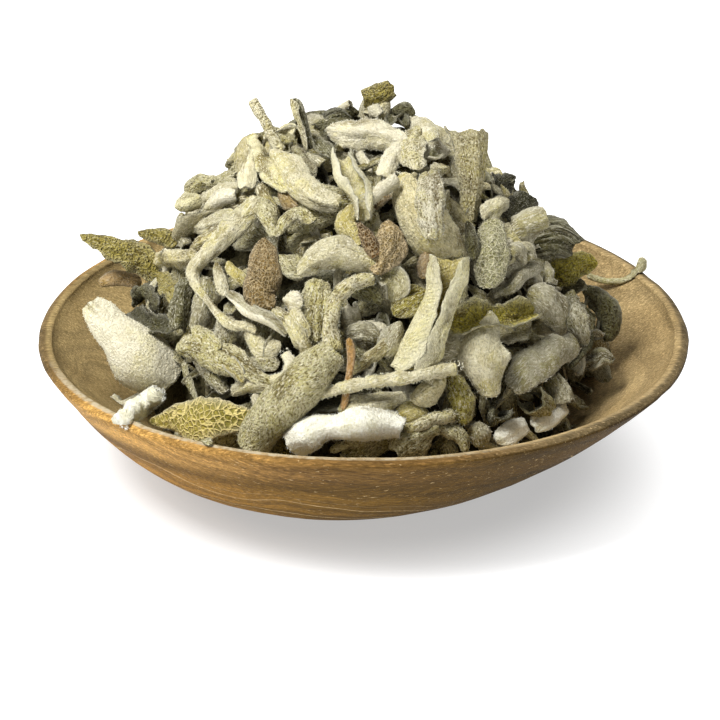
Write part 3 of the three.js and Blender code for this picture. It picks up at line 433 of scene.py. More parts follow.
# The smaller leaves, stalks and buds between them, which the scene alone has.
SMALLER = [
    leaf("dark", [(-18, 57.5, 2), (-15, 54, 4), (-13.5, 49.5, 3)], [4, 6, 4], tint=0.7,
         back="grey"),
    leaf("pale", [(-14, 56.5, 3), (-11.5, 54.5, 4), (-10, 53, 3)], [2.4, 3, 3], tint=0.6,
         back="grey"),
    leaf("felt", [(-13, 60.5, 2), (-10, 58, 3), (-7.5, 55.5, 2)], [3, 4.6, 4], curl=[160],
         turn=[150], tint=0.8, open="dark"),
    leaf("pale", [(-22, 59, 0), (-20, 61.5, 1), (-17, 61.5, 1)], [4, 6, 4], back="butter",
         tint=0.8),
    leaf("olive", [(-12.5, 63, -1), (-7, 66, 0), (-1, 67.5, 0)], [2.4, 3.4, 3], back="dark",
         tint=0.5),
    leaf("dark", [(7.5, 64.5, 0), (10, 67, 1), (12.5, 65, 1)], [3, 4.4, 3.4], curl=[160],
         turn=[160], tint=0.4, back="pale", open="dark"),
    leaf("dark", [(9, 68, -1), (12, 68.5, 0), (15, 67, 0)], [2.4, 3.4, 2.4], tint=0.2, ragged=0.4),
    stalk("white", [(1.5, 43.5, 5), (5.5, 46, 6), (10, 49.5, 6)], [3.4, 3.6, 3.8], wool=2.4),
    leaf("white", [(18.5, 56.5, 5), (20.5, 56, 6), (22, 56.5, 5)], [2.4, 3.2, 2.6], curl=[170],
         turn=[150], open="dark", tint=0.8),
    leaf("felt", [(19, 52, 3), (21.5, 52.5, 4), (23.5, 52.5, 3)], [3, 5, 3.6], back="pale",
         ragged=0.4, tint=0.7),
    leaf("cream", [(-2.5, 42, 4), (-3.5, 37, 6), (0, 31, 5)], [4.4, 6, 4], back="gold", wool=2.4,
         ragged=0.3),
    leaf("brown", [(-1, 37.5, 6), (1.5, 33, 7), (4, 28, 6)], [3.4, 4.6, 3.6], back="rust",
         ragged=0.4),
    # A dark leaf bit under the tall tube, where shade falls: painted shade.
    leaf("dark", [(29.5, 38, 2), (30.5, 33, 3), (31, 27.5, 2)], [3, 4, 3], tint=0.4),
    leaf("pale", [(33.5, 38.5, 1), (36.5, 41, 2), (40, 43.5, 1)], [4, 5.6, 4], back="pale",
         tint=0.7),
    leaf("felt", [(40, 27.5, 4), (42.5, 29.5, 6), (44.5, 27.5, 5)], [3.4, 4.6, 3.4], curl=[200],
         back="grey", finish="pale", tint=0.8),
    leaf("felt", [(44, 29.5, 5), (45.5, 30, 6), (46.5, 27, 5)], [2.6, 3.4, 2.8], curl=[200],
         back="grey", finish="pale", tint=0.9),
    leaf("felt", [(36.5, 17.5, 2), (40.5, 19.5, 3), (44.5, 23, 4), (49, 26, 3)], [2.4, 3.4, 4, 3.4],
         curl=[150], back="grey", finish="pale", tint=0.7, pleats=1.5),
    leaf("felt", [(39, 24, 1), (41.5, 25, 2), (44.5, 24.5, 1)], [4, 6, 4], back="grey",
         finish="pale", tint=0.4),
    leaf("felt", [(51, 26.5, 3), (51.5, 23.5, 4), (51, 20.5, 3)], [2.6, 3.2, 2.4], back="grey",
         finish="pale", tint=0.7),
    stalk("dark", [(63, 9.5, 3), (63, 5, 4), (61, 2, 4), (57.5, -2, 3)], [1.3, 1.7, 1.8, 1.5],
          tint=0.3),
    leaf("felt", [(62.5, 8, 1), (64.5, 5, 2), (67.5, 3, 1)], [4.4, 5.6, 4], back="grey", tint=0.3),
    leaf("felt", [(36.5, -16.5, -1), (37.5, -15, 2), (38.5, -14, 5)], [4.6, 5.6, 5.8], curl=[300],
         ends=(0, 0), tint=0.4, back="dark"),
    leaf("cream", [(10.5, -15.5, 4), (14, -14, 5), (18, -15, 4)], [4.6, 6.4, 4.6], curl=[190],
         back="gold", finish="pale", tint=1, pleats=0.2, creases=0.1),
    leaf("cream", [(22.5, -5.5, 4), (18.5, -8, 6), (14.5, -11.5, 5)], [4.8, 6.6, 3.6], curl=[170],
         tint=1, finish="pale", pleats=0.3, creases=0.2),
    leaf("felt", [(-8, -25, 3), (-1.5, -22, 4), (5, -21.5, 3)], [2.6, 3.4, 3], curl=[150],
         tint=0.6),
    leaf("felt", [(21.5, -18.5, 4), (26.5, -20.5, 5), (29, -25, 4)], [3, 3.8, 2.8], curl=[150],
         tint=0.6),
    leaf("pale", [(30.5, -17.5, 2), (32.5, -20.5, 3), (33.5, -23.5, 2)], [4, 6, 4.4], curl=[120],
         back="grey", tint=0.9, pleats=1.6),
    leaf("cream", [(23.5, -3.5, 3), (27, -9, 5), (29, -17.5, 4)], [4, 6.4, 4.6], curl=[120],
         turn=[20], back="straw", finish="felt", tint=0.8),
    leaf("felt", [(10.5, 10, 2), (8, 5, 4), (5, 1.5, 3)], [4, 6.4, 4], back="grey", finish="pale",
         tint=0.6),
    leaf("olive", [(9, 12.5, 1), (13, 16, 3), (18, 18.5, 2)], [5, 9, 6], curl=[90], back="straw",
         finish="felt", tint=0.6),
    leaf("tan", [(17.5, 29.5, 0), (17.5, 25.5, 1), (17, 22, 0)], [3.6, 4.6, 3.6], curl=[100],
         back="dusk", tint=0.6),
    leaf("dark", [(-2, 18.5, 0), (2, 17.5, 2), (5.5, 15.5, 1)], [4, 6, 4], curl=[130], tint=0.5,
         ragged=0.4),
    leaf("felt", [(-4, 5, 1), (0.5, 6, 3), (5.5, 5, 2)], [5, 7.4, 5], back="grey", finish="pale",
         tint=0.4),
    leaf("dark", [(3, 11.5, 0), (5.5, 9, 1), (6.5, 13.5, 0)], [3, 4, 3], curl=[150], turn=[150],
         tint=0.4),
    leaf("white", [(-20.5, 16.5, 4), (-18.5, 16, 5), (-16, 14.5, 4)], [4, 5.4, 3.6], curl=[130],
         wool=2.8, ragged=0.3, tint=0.9),
    leaf("pale", [(-18, 14.5, 4), (-16.5, 10.5, 5), (-14, 6, 4)], [2.4, 3.6, 2.6], curl=[140],
         tint=0.9),
    leaf("white", [(-36, 18.5, 5), (-30.5, 14.5, 7), (-24.5, 10.5, 7), (-20, 7, 5)],
         [2.4, 3.6, 4, 3], curl=[180], turn=[130], tint=0.8, open="grey", pleats=1.8),
    leaf("pale", [(-25, 14, 4), (-19.5, 10.5, 6), (-16.5, 6, 6), (-14, 2, 4)], [3, 4.8, 4.4, 3],
         curl=[140], tint=0.9, pleats=2.2, creases=2),
    leaf("pale", [(-31, 8, 4), (-27, 3, 5), (-21.5, 4, 4)], [3.4, 5, 3.6], curl=[120], tint=0.7,
         pleats=1.5),
    leaf("felt", [(-37, 12.5, 2), (-36.5, 8, 4), (-37, 3.5, 3)], [4.4, 6.6, 4], tint=0.6,
         back="grey"),
    stalk("white", [(-24.5, -5.5, 5), (-20.5, -4.5, 6), (-19, -1, 7), (-20.5, 2, 6)],
          [2.4, 3, 3, 2.4], wool=1.8),
    leaf("felt", [(-30, -0.5, 4), (-26, 0, 5), (-22, -2, 4)], [3.4, 5, 3.6], curl=[120], tint=0.7,
         back="grey", pleats=1.5),
    leaf("pale", [(-39.5, 27, 3), (-38, 22, 5), (-36.5, 17.5, 4)], [2.6, 3.4, 2.6], curl=[150],
         tint=0.8, pleats=1.6),
    leaf("cream", [(-35.5, 26, 3), (-33, 23, 4), (-31, 20, 3)], [2.6, 3.6, 2.8], curl=[130],
         back="gold", tint=0.7),
    leaf("cream", [(-46.5, 30, 3), (-42, 32.5, 4), (-37.5, 35, 3)], [3, 4.2, 3], curl=[130],
         tint=0.9),
    leaf("pale", [(-46.5, 36, 2), (-40.5, 37, 4), (-34, 40, 3)], [3.4, 5.4, 3.6], curl=[120],
         tint=0.8),
    leaf("felt", [(-49, 39.5, 1), (-49, 35, 3), (-47.5, 31, 2)], [3, 4.4, 3.4], curl=[120],
         back="grey", tint=0.6),
    leaf("olive", [(-54.5, 23, 3), (-52, 19.5, 4), (-50, 16, 3)], [4, 5.6, 4], curl=[90], tint=0.8,
         ragged=0.3),
    leaf("dark", [(-62.5, 14, 2), (-57, 10.5, 3), (-51, 9, 2)], [4, 6, 4], curl=[120], turn=[160],
         tint=0.1, ragged=0.4),
    leaf("pale", [(-37, -0.5, 6), (-34, -2.5, 7.5), (-31.5, -6, 6)], [2.6, 4, 2.6], curl=[160],
         turn=[180], open="gold", tint=0.9, rim=1),
    leaf("felt", [(-45, -0.5, 1), (-39.5, -4.5, 2), (-36, -9, 1)], [4, 5, 4], curl=[120],
         back="grey", tint=0.4),
    leaf("pale", [(-34.5, -9.5, 3), (-29, -7, 5), (-24, -7.5, 4)], [3, 5.4, 4], tint=0.7,
         pleats=1.6),
    stalk("white", [(-29, -9.5, 4), (-28, -11.5, 5), (-27, -14, 5)], [2, 2.6, 2.2], wool=1),
    leaf("felt", [(-27, -9.5, 3), (-24.5, -10.5, 4), (-22, -9.5, 3)], [3, 4.6, 3], back="straw",
         finish="felt", tint=0.4),
    # A small tuft on the lip, darkened by its low tint: painted shade.
    leaf("felt", [(-43, -22.5, 0), (-41.5, -23, 1), (-40.5, -23.5, 0)], [2.6, 4, 2.6], curl=[120],
         tint=0.3, ragged=0.4),
    leaf("felt", [(-39, 49.5, -1), (-36.5, 50, 0), (-34, 50.5, 0)], [2, 3, 2.2], curl=[100],
         ragged=0.5, tint=0.4),
    leaf("pale", [(-42, 44, 2), (-38, 46, 4), (-33, 47.5, 3)], [3, 4.8, 3], curl=[120], tint=0.7,
         pleats=1.4),
    leaf("white", [(-41.5, 41.5, 2), (-38, 44, 4), (-33.5, 45.5, 3)], [3, 4.8, 3], curl=[120],
         tint=0.8, pleats=1.2),
    leaf("tan", [(-22, 45.5, 1), (-19.5, 43, 2), (-17.5, 41, 1)], [3, 4, 3], curl=[100],
         back="dusk", tint=0.5),
]

# ---- What a user would change --------------------------------------------------------------------


def colour_property(name, description, default):
    return FloatVectorProperty(name=name, description=description, default=default, size=3,
                               subtype="COLOR", min=0.0, max=1.0)


class SageBowlSettings(bpy.types.PropertyGroup):
    """The carved bowl."""

    steps_round: IntProperty(
        name="Steps round", description="Faces round the rim", default=192, min=24)
    tool_marks: FloatProperty(
        name="Tool marks", description="Depth of the dents left by carving, in mm", default=0.35,
        min=0.0)
    outside: colour_property("Outside", "The oiled wood outside", (0.141, 0.0745, 0.0114))
    inside: colour_property("Inside", "The drier wood inside", (0.34, 0.245, 0.112))
    lip: colour_property("Lip", "The rubbed wood of the lip", (0.25, 0.135, 0.036))
    worn: colour_property("Worn edge", "The lip's inner edge, worn pale", (0.5, 0.42, 0.28))
    line: colour_property("Grain line", "The pale lines of the grain", (0.60, 0.44, 0.22))


class SageLeafSettings(bpy.types.PropertyGroup):
    """The dried leaves."""

    thickness: FloatProperty(
        name="Thickness", description="Thickness of a leaf's felt, in mm", default=0.55, min=0.2)
    step: FloatProperty(
        name="Step", description="Size of a face on a leaf, in mm", default=0.55, min=0.2)
    crinkle: FloatProperty(
        name="Crinkle", description="Height of the wrinkles, in mm", default=0.35, min=0.0)
    small_leaves: IntProperty(
        name="Small leaves", description="How many small leaves fill the heap", default=520, min=0)
    wool: FloatProperty(
        name="Wool", description="Tufts of wool on a square millimetre of leaf", default=0.85,
        min=0.0)
    pale: colour_property("Pale", "Pale woolly leaves", (0.76, 0.7, 0.47))
    felt: colour_property("Felt", "Grey-green felted leaves", (0.64, 0.59, 0.34))
    white: colour_property("White", "White woolly leaves", (0.73, 0.68, 0.50))
    cream: colour_property("Cream", "Cream leaves", (0.74, 0.66, 0.38))
    snow: colour_property("Snow", "The whitest wool", (0.87, 0.85, 0.72))
    butter: colour_property("Butter", "Yellowish cream leaves", (0.8, 0.74, 0.45))
    gold: colour_property("Gold", "Yellow woolly buds", (0.64, 0.55, 0.22))
    yellow: colour_property("Yellow", "Yellow leaves with a raised net", (0.78, 0.6, 0.13))
    straw: colour_property("Straw", "The yellow-green inside of curled leaves", (0.43, 0.37, 0.09))
    moss: colour_property("Moss", "Bright olive leaves", (0.54, 0.46, 0.07))
    olive: colour_property("Olive", "Olive pebbled leaves", (0.46, 0.39, 0.12))
    brown: colour_property("Brown", "Brown leaves", (0.4, 0.25, 0.085))
    rust: colour_property("Rust", "Rusty scraps", (0.254, 0.12, 0.028))
    rose: colour_property("Rose", "Pinkish brown buds", (0.52, 0.36, 0.17))
    dusk: colour_property("Dusk", "Taupe strips", (0.445, 0.33, 0.184))
    grey: colour_property("Grey", "Grey leaves", (0.498, 0.46, 0.312))
    dark: colour_property("Dark", "Dark leaves", (0.233, 0.22, 0.116))
    black: colour_property("Black", "Nearly black scraps", (0.0583, 0.055, 0.016))
    tan: colour_property("Tan", "Papery strips", (0.53, 0.31, 0.12))


class SageStageSettings(bpy.types.PropertyGroup):
    """The floor and the light."""

    key: FloatProperty(
        name="Key light", description="Power of the main light, in W", default=17.9, min=0.0)
    fill: FloatProperty(
        name="Fill light", description="Strength of the light all round", default=0.235, min=0.0)
    # The floor's own glow, a painted light; it is weaker under the bowl, a painted soft shadow, and it
    # makes the grey floor look white.
    glow: FloatProperty(
        name="Glow", description="Light from the light table under the bowl", default=1.0, min=0.0)
    floor: colour_property("Floor", "The pale floor", (0.45, 0.45, 0.45))


# ---- Numbers -------------------------------------------------------------------------------------


def random_stream(seed):
    """Repeatable random numbers from 0 to 1, the same as in the solids."""
    state = seed & 0xFFFFFFFF

    def draw():
        nonlocal state
        state = (state + 0x6D2B79F5) & 0xFFFFFFFF
        t = state
        t = ((t ^ (t >> 15)) * (t | 1)) & 0xFFFFFFFF
        t = (t ^ (t + (((t ^ (t >> 7)) * (t | 61)) & 0xFFFFFFFF))) & 0xFFFFFFFF
        return (t ^ (t >> 14)) / 4294967296

    return draw


def smooth(values, t):
    """Values along a smooth curve through control values, at each t from 0 to 1."""
    values = np.asarray(values, float)
    t = np.atleast_1d(np.asarray(t, float))
    if len(values) == 1:
        return np.repeat(values, len(t), axis=0)
    ends = np.concatenate([[2 * values[0] - values[1]], values, [2 * values[-1] - values[-2]]])
    place = t * (len(values) - 1)
    i = np.clip(np.floor(place).astype(int), 0, len(values) - 2)
    w = place - i
    before, start, end, after = ends[i], ends[i + 1], ends[i + 2], ends[i + 3]
    if values.ndim > 1:
        w = w[:, None]
    pull, push = 0.5 * (end - before), 0.5 * (after - start)
    return ((2 * start - 2 * end + pull + push) * w ** 3
            + (-3 * start + 3 * end - 2 * pull - push) * w ** 2 + pull * w + start)


def path_mm(points):
    """The length of a path."""
    return float(np.sum(np.linalg.norm(np.diff(points, axis=0), axis=1)))


def unit(vectors):
    return vectors / np.maximum(np.linalg.norm(vectors, axis=-1, keepdims=True), 1e-9)


def hashed(cells, seed):
    """A repeatable number from -1 to 1 for each whole-number cell of the last axis."""
    x, y, z = np.moveaxis(cells, -1, 0)
    mixed = x * 73856093 ^ y * 19349663 ^ z * 83492791 ^ seed * 2654435
    mixed = (mixed ^ (mixed >> 13)) * 1274126177 & 0x7FFFFFFF
    return mixed / 0x3FFFFFFF - 1


def lumps(points, size, seed=0):
    """Smooth noise from -1 to 1 at points, in lumps about size across."""
    scaled = np.asarray(points, float) / size
    cell = np.floor(scaled).astype(np.int64)
    w = scaled - cell
    w = w * w * (3 - 2 * w)
    total = np.zeros(scaled.shape[:-1])
    for corner in np.ndindex(2, 2, 2):
        share = np.prod(np.where(np.array(corner) == 1, w, 1 - w), axis=-1)
        total += share * hashed(cell + np.array(corner), seed)
    return total


# ---- The bowl's and the heap's surfaces ----------------------------------------------------------


def plan_radius(angle):
    return (RIM_RADIUS + RIM_FRONT_BACK * np.sin(angle) + RIM_LEFT_RIGHT * np.cos(angle)
            + RIM_OVAL * np.cos(2 * angle))


def warp(part, angle):
    reach = np.clip((part - WARP_FROM) / (1 - WARP_FROM), 0, 1)
    return -RIM_WARP * np.cos(2 * angle) * reach ** 2


def inside_height(part):
    reach = np.clip(part / (1 - LIP_WIDTH), 0, 1)
    return FLOOR_THICKNESS + (RIM_HEIGHT - LIP_INNER_DROP - FLOOR_THICKNESS) * reach ** INSIDE_POWER


def bowl_inside(x, y):
    """The height of the bowl's upper surface: its inside, and its lip all the way out."""
    angle = np.arctan2(y, x - FOOT_SHIFT)
    part = np.hypot(x - FOOT_SHIFT, y) / plan_radius(angle)
    height = np.where(part > 1 - LIP_WIDTH, RIM_HEIGHT, inside_height(part))
    return height + warp(part, angle)


def heap_top(x, y):
    part = np.hypot(x - HEAP_CENTRE[0], y - HEAP_CENTRE[1]) / HEAP_RADIUS
    return HEAP_FOOT_Z + (HEAP_TOP_Z - HEAP_FOOT_Z) * (1 - np.minimum(part, 1.4) ** HEAP_POWER)


def skin(x, y):
    return np.maximum(heap_top(x, y), bowl_inside(x, y))


def skin_normal(x, y):
    step = 0.5
    slope_x = (skin(x + step, y) - skin(x - step, y)) / (2 * step)
    slope_y = (skin(x, y + step) - skin(x, y - step)) / (2 * step)
    return unit(np.array([-slope_x, -slope_y, 1.0]))


# ---- Laying by sight -----------------------------------------------------------------------------


def sight_ray(u, v):
    return unit(AIM + np.array([u, 0.0, 0.0]) + v * SIGHT_UP - SEAT)


def sight_distance(u, v):
    """How far from the seat the line of sight meets the heap or the bowl, or passes nearest."""
    ray = sight_ray(u, v)

    def clearance(distance, surface):
        x, y, z = SEAT + distance * ray
        return z - surface(x, y)

    tries = np.arange(SIGHT_NEAR, SIGHT_FAR + SIGHT_STEP, SIGHT_STEP)
    points = SEAT + tries[:, None] * ray
    over_skin = points[:, 2] - skin(points[:, 0], points[:, 1])
    over_heap = points[:, 2] - heap_top(points[:, 0], points[:, 1])
    hits = np.nonzero(over_skin <= 0)[0]
    last = hits[0] if len(hits) else len(tries) - 1
    nearest = tries[np.argmin(over_heap[:last])]
    low, high = tries[last] - SIGHT_STEP, tries[last]
    for _ in range(SIGHT_HALVINGS):
        middle = (low + high) / 2
        if clearance(middle, skin) > 0:
            low = middle
        else:
            high = middle
    is_over_heap = nearest < low - SIGHT_STEP and clearance(nearest, heap_top) < HEAP_REACH
    return nearest if is_over_heap else low


def lay_by_sight(path, level=None):
    distances = [sight_distance(u, v) for u, v, _ in path]
    points = []
    for i, (u, v, lift) in enumerate(path):
        distance = (distances[i] if level is None else distances[level]) - lift
        points.append(SEAT + distance * sight_ray(u, v))
    return np.array(points)


# ---- Bending a flat blank into a leaf ------------------------------------------------------------


def frames_along(points, t, out, turn):
    """Position, direction, back and across vectors along a path."""
    step = 1e-4
    position = smooth(points, t)
    forward = unit(smooth(points, np.minimum(t + step, 1)) - smooth(points, np.maximum(t - step, 0)))
    back = unit(out - (forward @ out)[:, None] * forward)
    across = np.cross(forward, back)
    cos, sin = np.cos(turn)[:, None], np.sin(turn)[:, None]
    back = back * cos + across * sin
    return position, forward, back, np.cross(forward, back)


TWIST = 14.0                     # degrees that a leaf twists along its path
WIDTH_SWING = 0.07               # part of its width that comes and goes along it
SWAY = 0.35                      # mm that its middle line wanders
END_REACH = 0.55                 # parts of the width over which an end is rounded off
BLUNT = 0.12                     # part of the width that a pointed end keeps
MARGIN_LUMPS = (3.6, 1.2)        # mm, the sizes of the waves and the nicks in a margin
TEAR_LUMPS = 1.5                 # mm, the size of the teeth on a torn end
TEAR_REACH = 4.0                 # mm from the end that a tear reaches back
CRUMPLE_LUMPS = (2.6, 1.3)       # mm, the sizes of the crumpled faces
CRUMPLE_SHARPNESS = 3.2
RIB_BEND = 0.12                  # part of the half width over which a leaf folds at its midrib
RIB_WIDTH = 0.5
VEIN_GAP = 3.4
VEIN_SLANT = 0.9
VEIN_WIDTH = 0.42


def leaf_sheet(points, out, row, rows, columns):
    """A curled leaf's middle surface on a grid: places, spokes, mm along, mm across and radius."""
    seed = row["seed"]
    t = np.linspace(0, 1, rows)
    s = np.linspace(-1, 1, columns)
    walk = np.stack([t * path_mm(points), np.full(rows, seed * 5.3), np.zeros(rows)], axis=-1)
    loose = row.get("loose", 1.0)
    turn = (smooth(row["turn"], t) + TWIST * loose * lumps(walk, 7.0, seed + 5)) * DEG
    position, forward, back, across = frames_along(points, t, out, turn)
    curl = smooth(row["curl"], t) + smooth(row.get("closed", (0, 0)), t)
    half = np.minimum(curl, row.get("fullest", FULLEST_CURL)) * DEG / 2
    swing = 1 + WIDTH_SWING * loose * lumps(walk, 3.5, seed + 6)
    wide = np.maximum(smooth(row["wide"], t), NARROWEST) * swing
    radius = wide / 2 / np.sin(np.minimum(half, math.pi / 2))
    sway = SWAY * loose * (across * lumps(walk, 4.0, seed + 7)[:, None]
                           + back * lumps(walk, 5.0, seed + 8)[:, None])
    along_mm = np.concatenate([[0], np.cumsum(np.linalg.norm(np.diff(position, axis=0), axis=1))])
    length = along_mm[-1]

    # Ends are rounded off, pointed or torn, and each margin wanders by itself.
    keep = 1.0
    ends = zip(row["ends"], (wide[0], wide[-1]), (along_mm, length - along_mm))
    for roundness, end_wide, from_end in ends:
        near = 1 - np.clip(from_end / (END_REACH * end_wide + 1.0), 0, 1)
        keep = keep * (1 - roundness * (1 - np.sqrt(1 - near ** 2) * (1 - BLUNT) - BLUNT))
    grid_t, grid_s = np.meshgrid(along_mm, s, indexing="ij")
    margin_place = np.stack([grid_t, np.sign(grid_s) * 9.0, np.full_like(grid_t, seed * 3.1)], axis=-1)
    ragged = row.get("ragged", 0.16)
    waves, nicks = (lumps(margin_place, size, seed + i) for i, size in enumerate(MARGIN_LUMPS))
    margin = 1 + np.abs(grid_s) ** 3 * (ragged * waves + 0.6 * ragged * nicks)
    reach = grid_s * keep[:, None] * margin
    half_arc = (radius * half)[:, None]
    across_mm = reach * half_arc
    side, lift, angle = bent_section(reach, half[:, None], across_mm, grid_t, row)

    # The section is scaled until it would be as wide as asked with its margins whole.
    full = np.linspace(-1, 1, 31)[None, :] * np.ones((rows, 1))
    full_side, full_lift, _ = bent_section(full, half[:, None], full * half_arc, grid_t[:, :1], row)
    fit = np.clip(wide / 2 / np.maximum(np.abs(full_side).max(axis=1), 0.1), 0.7, 1.4)
    side, lift = side * fit[:, None], (lift - full_lift.mean(axis=1)[:, None]) * fit[:, None]
    spoke = across[:, None, :] * np.sin(angle)[..., None] + back[:, None, :] * np.cos(angle)[..., None]
    ripple = row.get("wave", 0) * grid_s ** 2 * np.sin(12 * t)[:, None]
    places = ((position + sway)[:, None, :] + across[:, None, :] * side[..., None]
              + back[:, None, :] * (lift + ripple)[..., None])
    places += smooth(row.get("nearer", (0, 0)), t)[:, None, None] * TO_SEAT
    teeth = np.stack([across_mm, grid_t * 0, np.full_like(grid_t, seed)], axis=-1)
    at_start = np.clip(1 - grid_t / TEAR_REACH, 0, 1)
    at_end = np.clip(1 - (length - grid_t) / TEAR_REACH, 0, 1)
    start_tear, end_tear = row["tear"]
    shift = lumps(teeth, TEAR_LUMPS, seed + 2) * (start_tear * at_start + end_tear * at_end)
    places += forward[:, None, :] * shift[..., None]
    return places, spoke, grid_t, across_mm, radius


def bent_section(reach, half, across_mm, along_mm, row):
    """Cross-sections bent along the midrib and the margins, and crumpled into small flat faces."""
    seed = row["seed"]
    fold, roll = row.get("fold", 0.22), row.get("roll", 0.25)
    evenly = ((1 - fold - roll) * reach + fold * np.tanh(reach / RIB_BEND)
              + roll * np.sign(reach) * np.abs(reach) ** 5)
    along = along_mm * 0.28 + np.zeros_like(across_mm)
    place = np.stack([across_mm, along, np.full_like(across_mm, seed * 2.3)], axis=-1)
    large, small = (np.tanh(CRUMPLE_SHARPNESS * lumps(place, size, seed + 12 + i))
                    for i, size in enumerate(CRUMPLE_LUMPS))
    angle = half * evenly + row.get("crumple", 0.30) * (large + 0.5 * small)
    mean_angle = (angle[:, 1:] + angle[:, :-1]) / 2
    middle = angle.shape[1] // 2

    def summed(slope):
        steps = np.cumsum(slope * np.diff(across_mm, axis=1), axis=1)
        total = np.concatenate([np.zeros_like(angle[:, :1]), steps], axis=1)
        return total - total[:, middle:middle + 1]

    return summed(np.cos(mean_angle)), summed(-np.sin(mean_angle)), angle


def leaf_relief(along_mm, across_mm, row, amount):
    """Height of a leaf's folds, pleats, creases, pebbles, midrib and side veins, in mm."""
    seed = row["seed"]
    flat = np.stack([along_mm, across_mm, np.full_like(along_mm, seed * 7.7)], axis=-1)

    def drawn_out(slowness, size, offset):
        return lumps(flat * np.array([slowness, 1.0, 1.0]), size, seed + offset)

    crease = np.exp(-(drawn_out(0.3, 3.3, 9) / 0.10) ** 2)
    pleats = row.get("pleats", 0.9) * drawn_out(0.22, 1.9, 3)
    relief = amount * (1.4 * drawn_out(0.5, 5.0, 0) + pleats - row.get("creases", 0.8) * crease
                       + row["pebble"] * lumps(flat, 1.15, seed + 4))
    rib = np.exp(-(across_mm / RIB_WIDTH) ** 2)
    slant = np.abs(across_mm) * VEIN_SLANT + along_mm
    veins = np.exp(-((slant % VEIN_GAP - VEIN_GAP / 2) / VEIN_WIDTH) ** 2)
    veins = veins * np.clip(np.abs(across_mm) / 1.2, 0, 1)
    return relief + row.get("rib", 0.30) * rib + row.get("veins", 0.10) * veins


def keep_off_bowl(outer, inner, gap):
    """Raises pairs of points together where they would sink into the bowl."""
    need = np.maximum(bowl_inside(outer[..., 0], outer[..., 1]) + gap - outer[..., 2],
                      bowl_inside(inner[..., 0], inner[..., 1]) + gap - inner[..., 2])
    lift = np.maximum(need, 0)
    outer[..., 2] += lift
    inner[..., 2] += lift


OVER_BOWL = 0.45                 # mm that a leaf keeps over the bowl
MOST_ROWS = 110
MOST_COLUMNS = 70
THIN_MARGIN = 0.45               # part of the thickness that is gone at a margin
STALK_SIDES = 12
STALK_CRINKLE = 0.22
TIP_LENGTH = 0.9                 # mm over which a stalk's end is rounded


def add_layers(bm):
    kept = bm.verts.layers.float_vector
    return [kept.get(name) or kept.new(name) for name in (SHEET, LOOK, SHADE)]


def dress_faces(faces, material=0):
    for face in faces:
        face.material_index = material
        face.smooth = True


def add_leaf(bm, points, out, row, settings, step, rng, material):
    """Adds a leaf: two grids are bent into its back and its open side, and bridged round the edge."""
    sheet_layer, look_layer, shade_layer = add_layers(bm)
    path_length = path_mm(smooth(points, np.linspace(0, 1, 30)))
    half_curl = max(row["curl"]) * DEG / 2
    arc = max(row["wide"]) * max(1.0, half_curl / math.sin(min(half_curl, math.pi / 2)))
    rows = int(np.clip(path_length / step, 5, MOST_ROWS)) + 1
    columns = int(np.clip(arc / step, 3, MOST_COLUMNS)) + 1
    places, spoke, along_mm, across_mm, radius = leaf_sheet(points, out, row, rows, columns)
    relief = leaf_relief(along_mm, across_mm, row, settings.crinkle)
    edge = np.abs(np.linspace(-1, 1, columns))[None, :] * np.ones((rows, 1))
    half_thick = 0.5 * settings.thickness * (1 - THIN_MARGIN * edge ** 6)
    half_thick = np.minimum(half_thick, 0.55 * radius[:, None])
    outer = places + spoke * (relief + half_thick)[..., None]
    inner = places + spoke * np.maximum(relief - half_thick, -0.75 * radius[:, None])[..., None]
    keep_off_bowl(outer, inner, OVER_BOWL)
    # The look's third value is painted shade, which grows where the relief sinks into a crease.
    look = np.stack([np.full_like(edge, row["tint"]), edge ** 4 * row.get("rim", 0.4),
                     np.clip(0.5 - relief, 0, 1)], axis=-1).reshape(-1, 3).tolist()
    boundary = []
    for side, grid, colour in ((1, outer, row["back_colour"]), (-1, inner, row["open_colour"])):
        made = bmesh.ops.create_grid(
            bm, x_segments=columns - 1, y_segments=rows - 1, size=1.0)["verts"]
        spots = (grid.reshape(-1, 3) * MM).tolist()
        sheet = np.stack([across_mm, along_mm, np.full_like(along_mm, side)], axis=-1).reshape(-1, 3)
        for vert, spot, on_sheet, own_look in zip(made, spots, sheet.tolist(), look):
            vert.co = spot
            vert[sheet_layer] = on_sheet
            vert[look_layer] = own_look
            vert[shade_layer] = colour
        faces = {face for vert in made for face in vert.link_faces}
        if side < 0:
            bmesh.ops.reverse_faces(bm, faces=list(faces))
        dress_faces(faces, material)
        boundary += list({edge for face in faces for edge in face.edges if edge.is_boundary})
    dress_faces(bmesh.ops.bridge_loops(bm, edges=boundary)["faces"], material)
    note_wool(rng, settings, row, outer, spoke, edge)


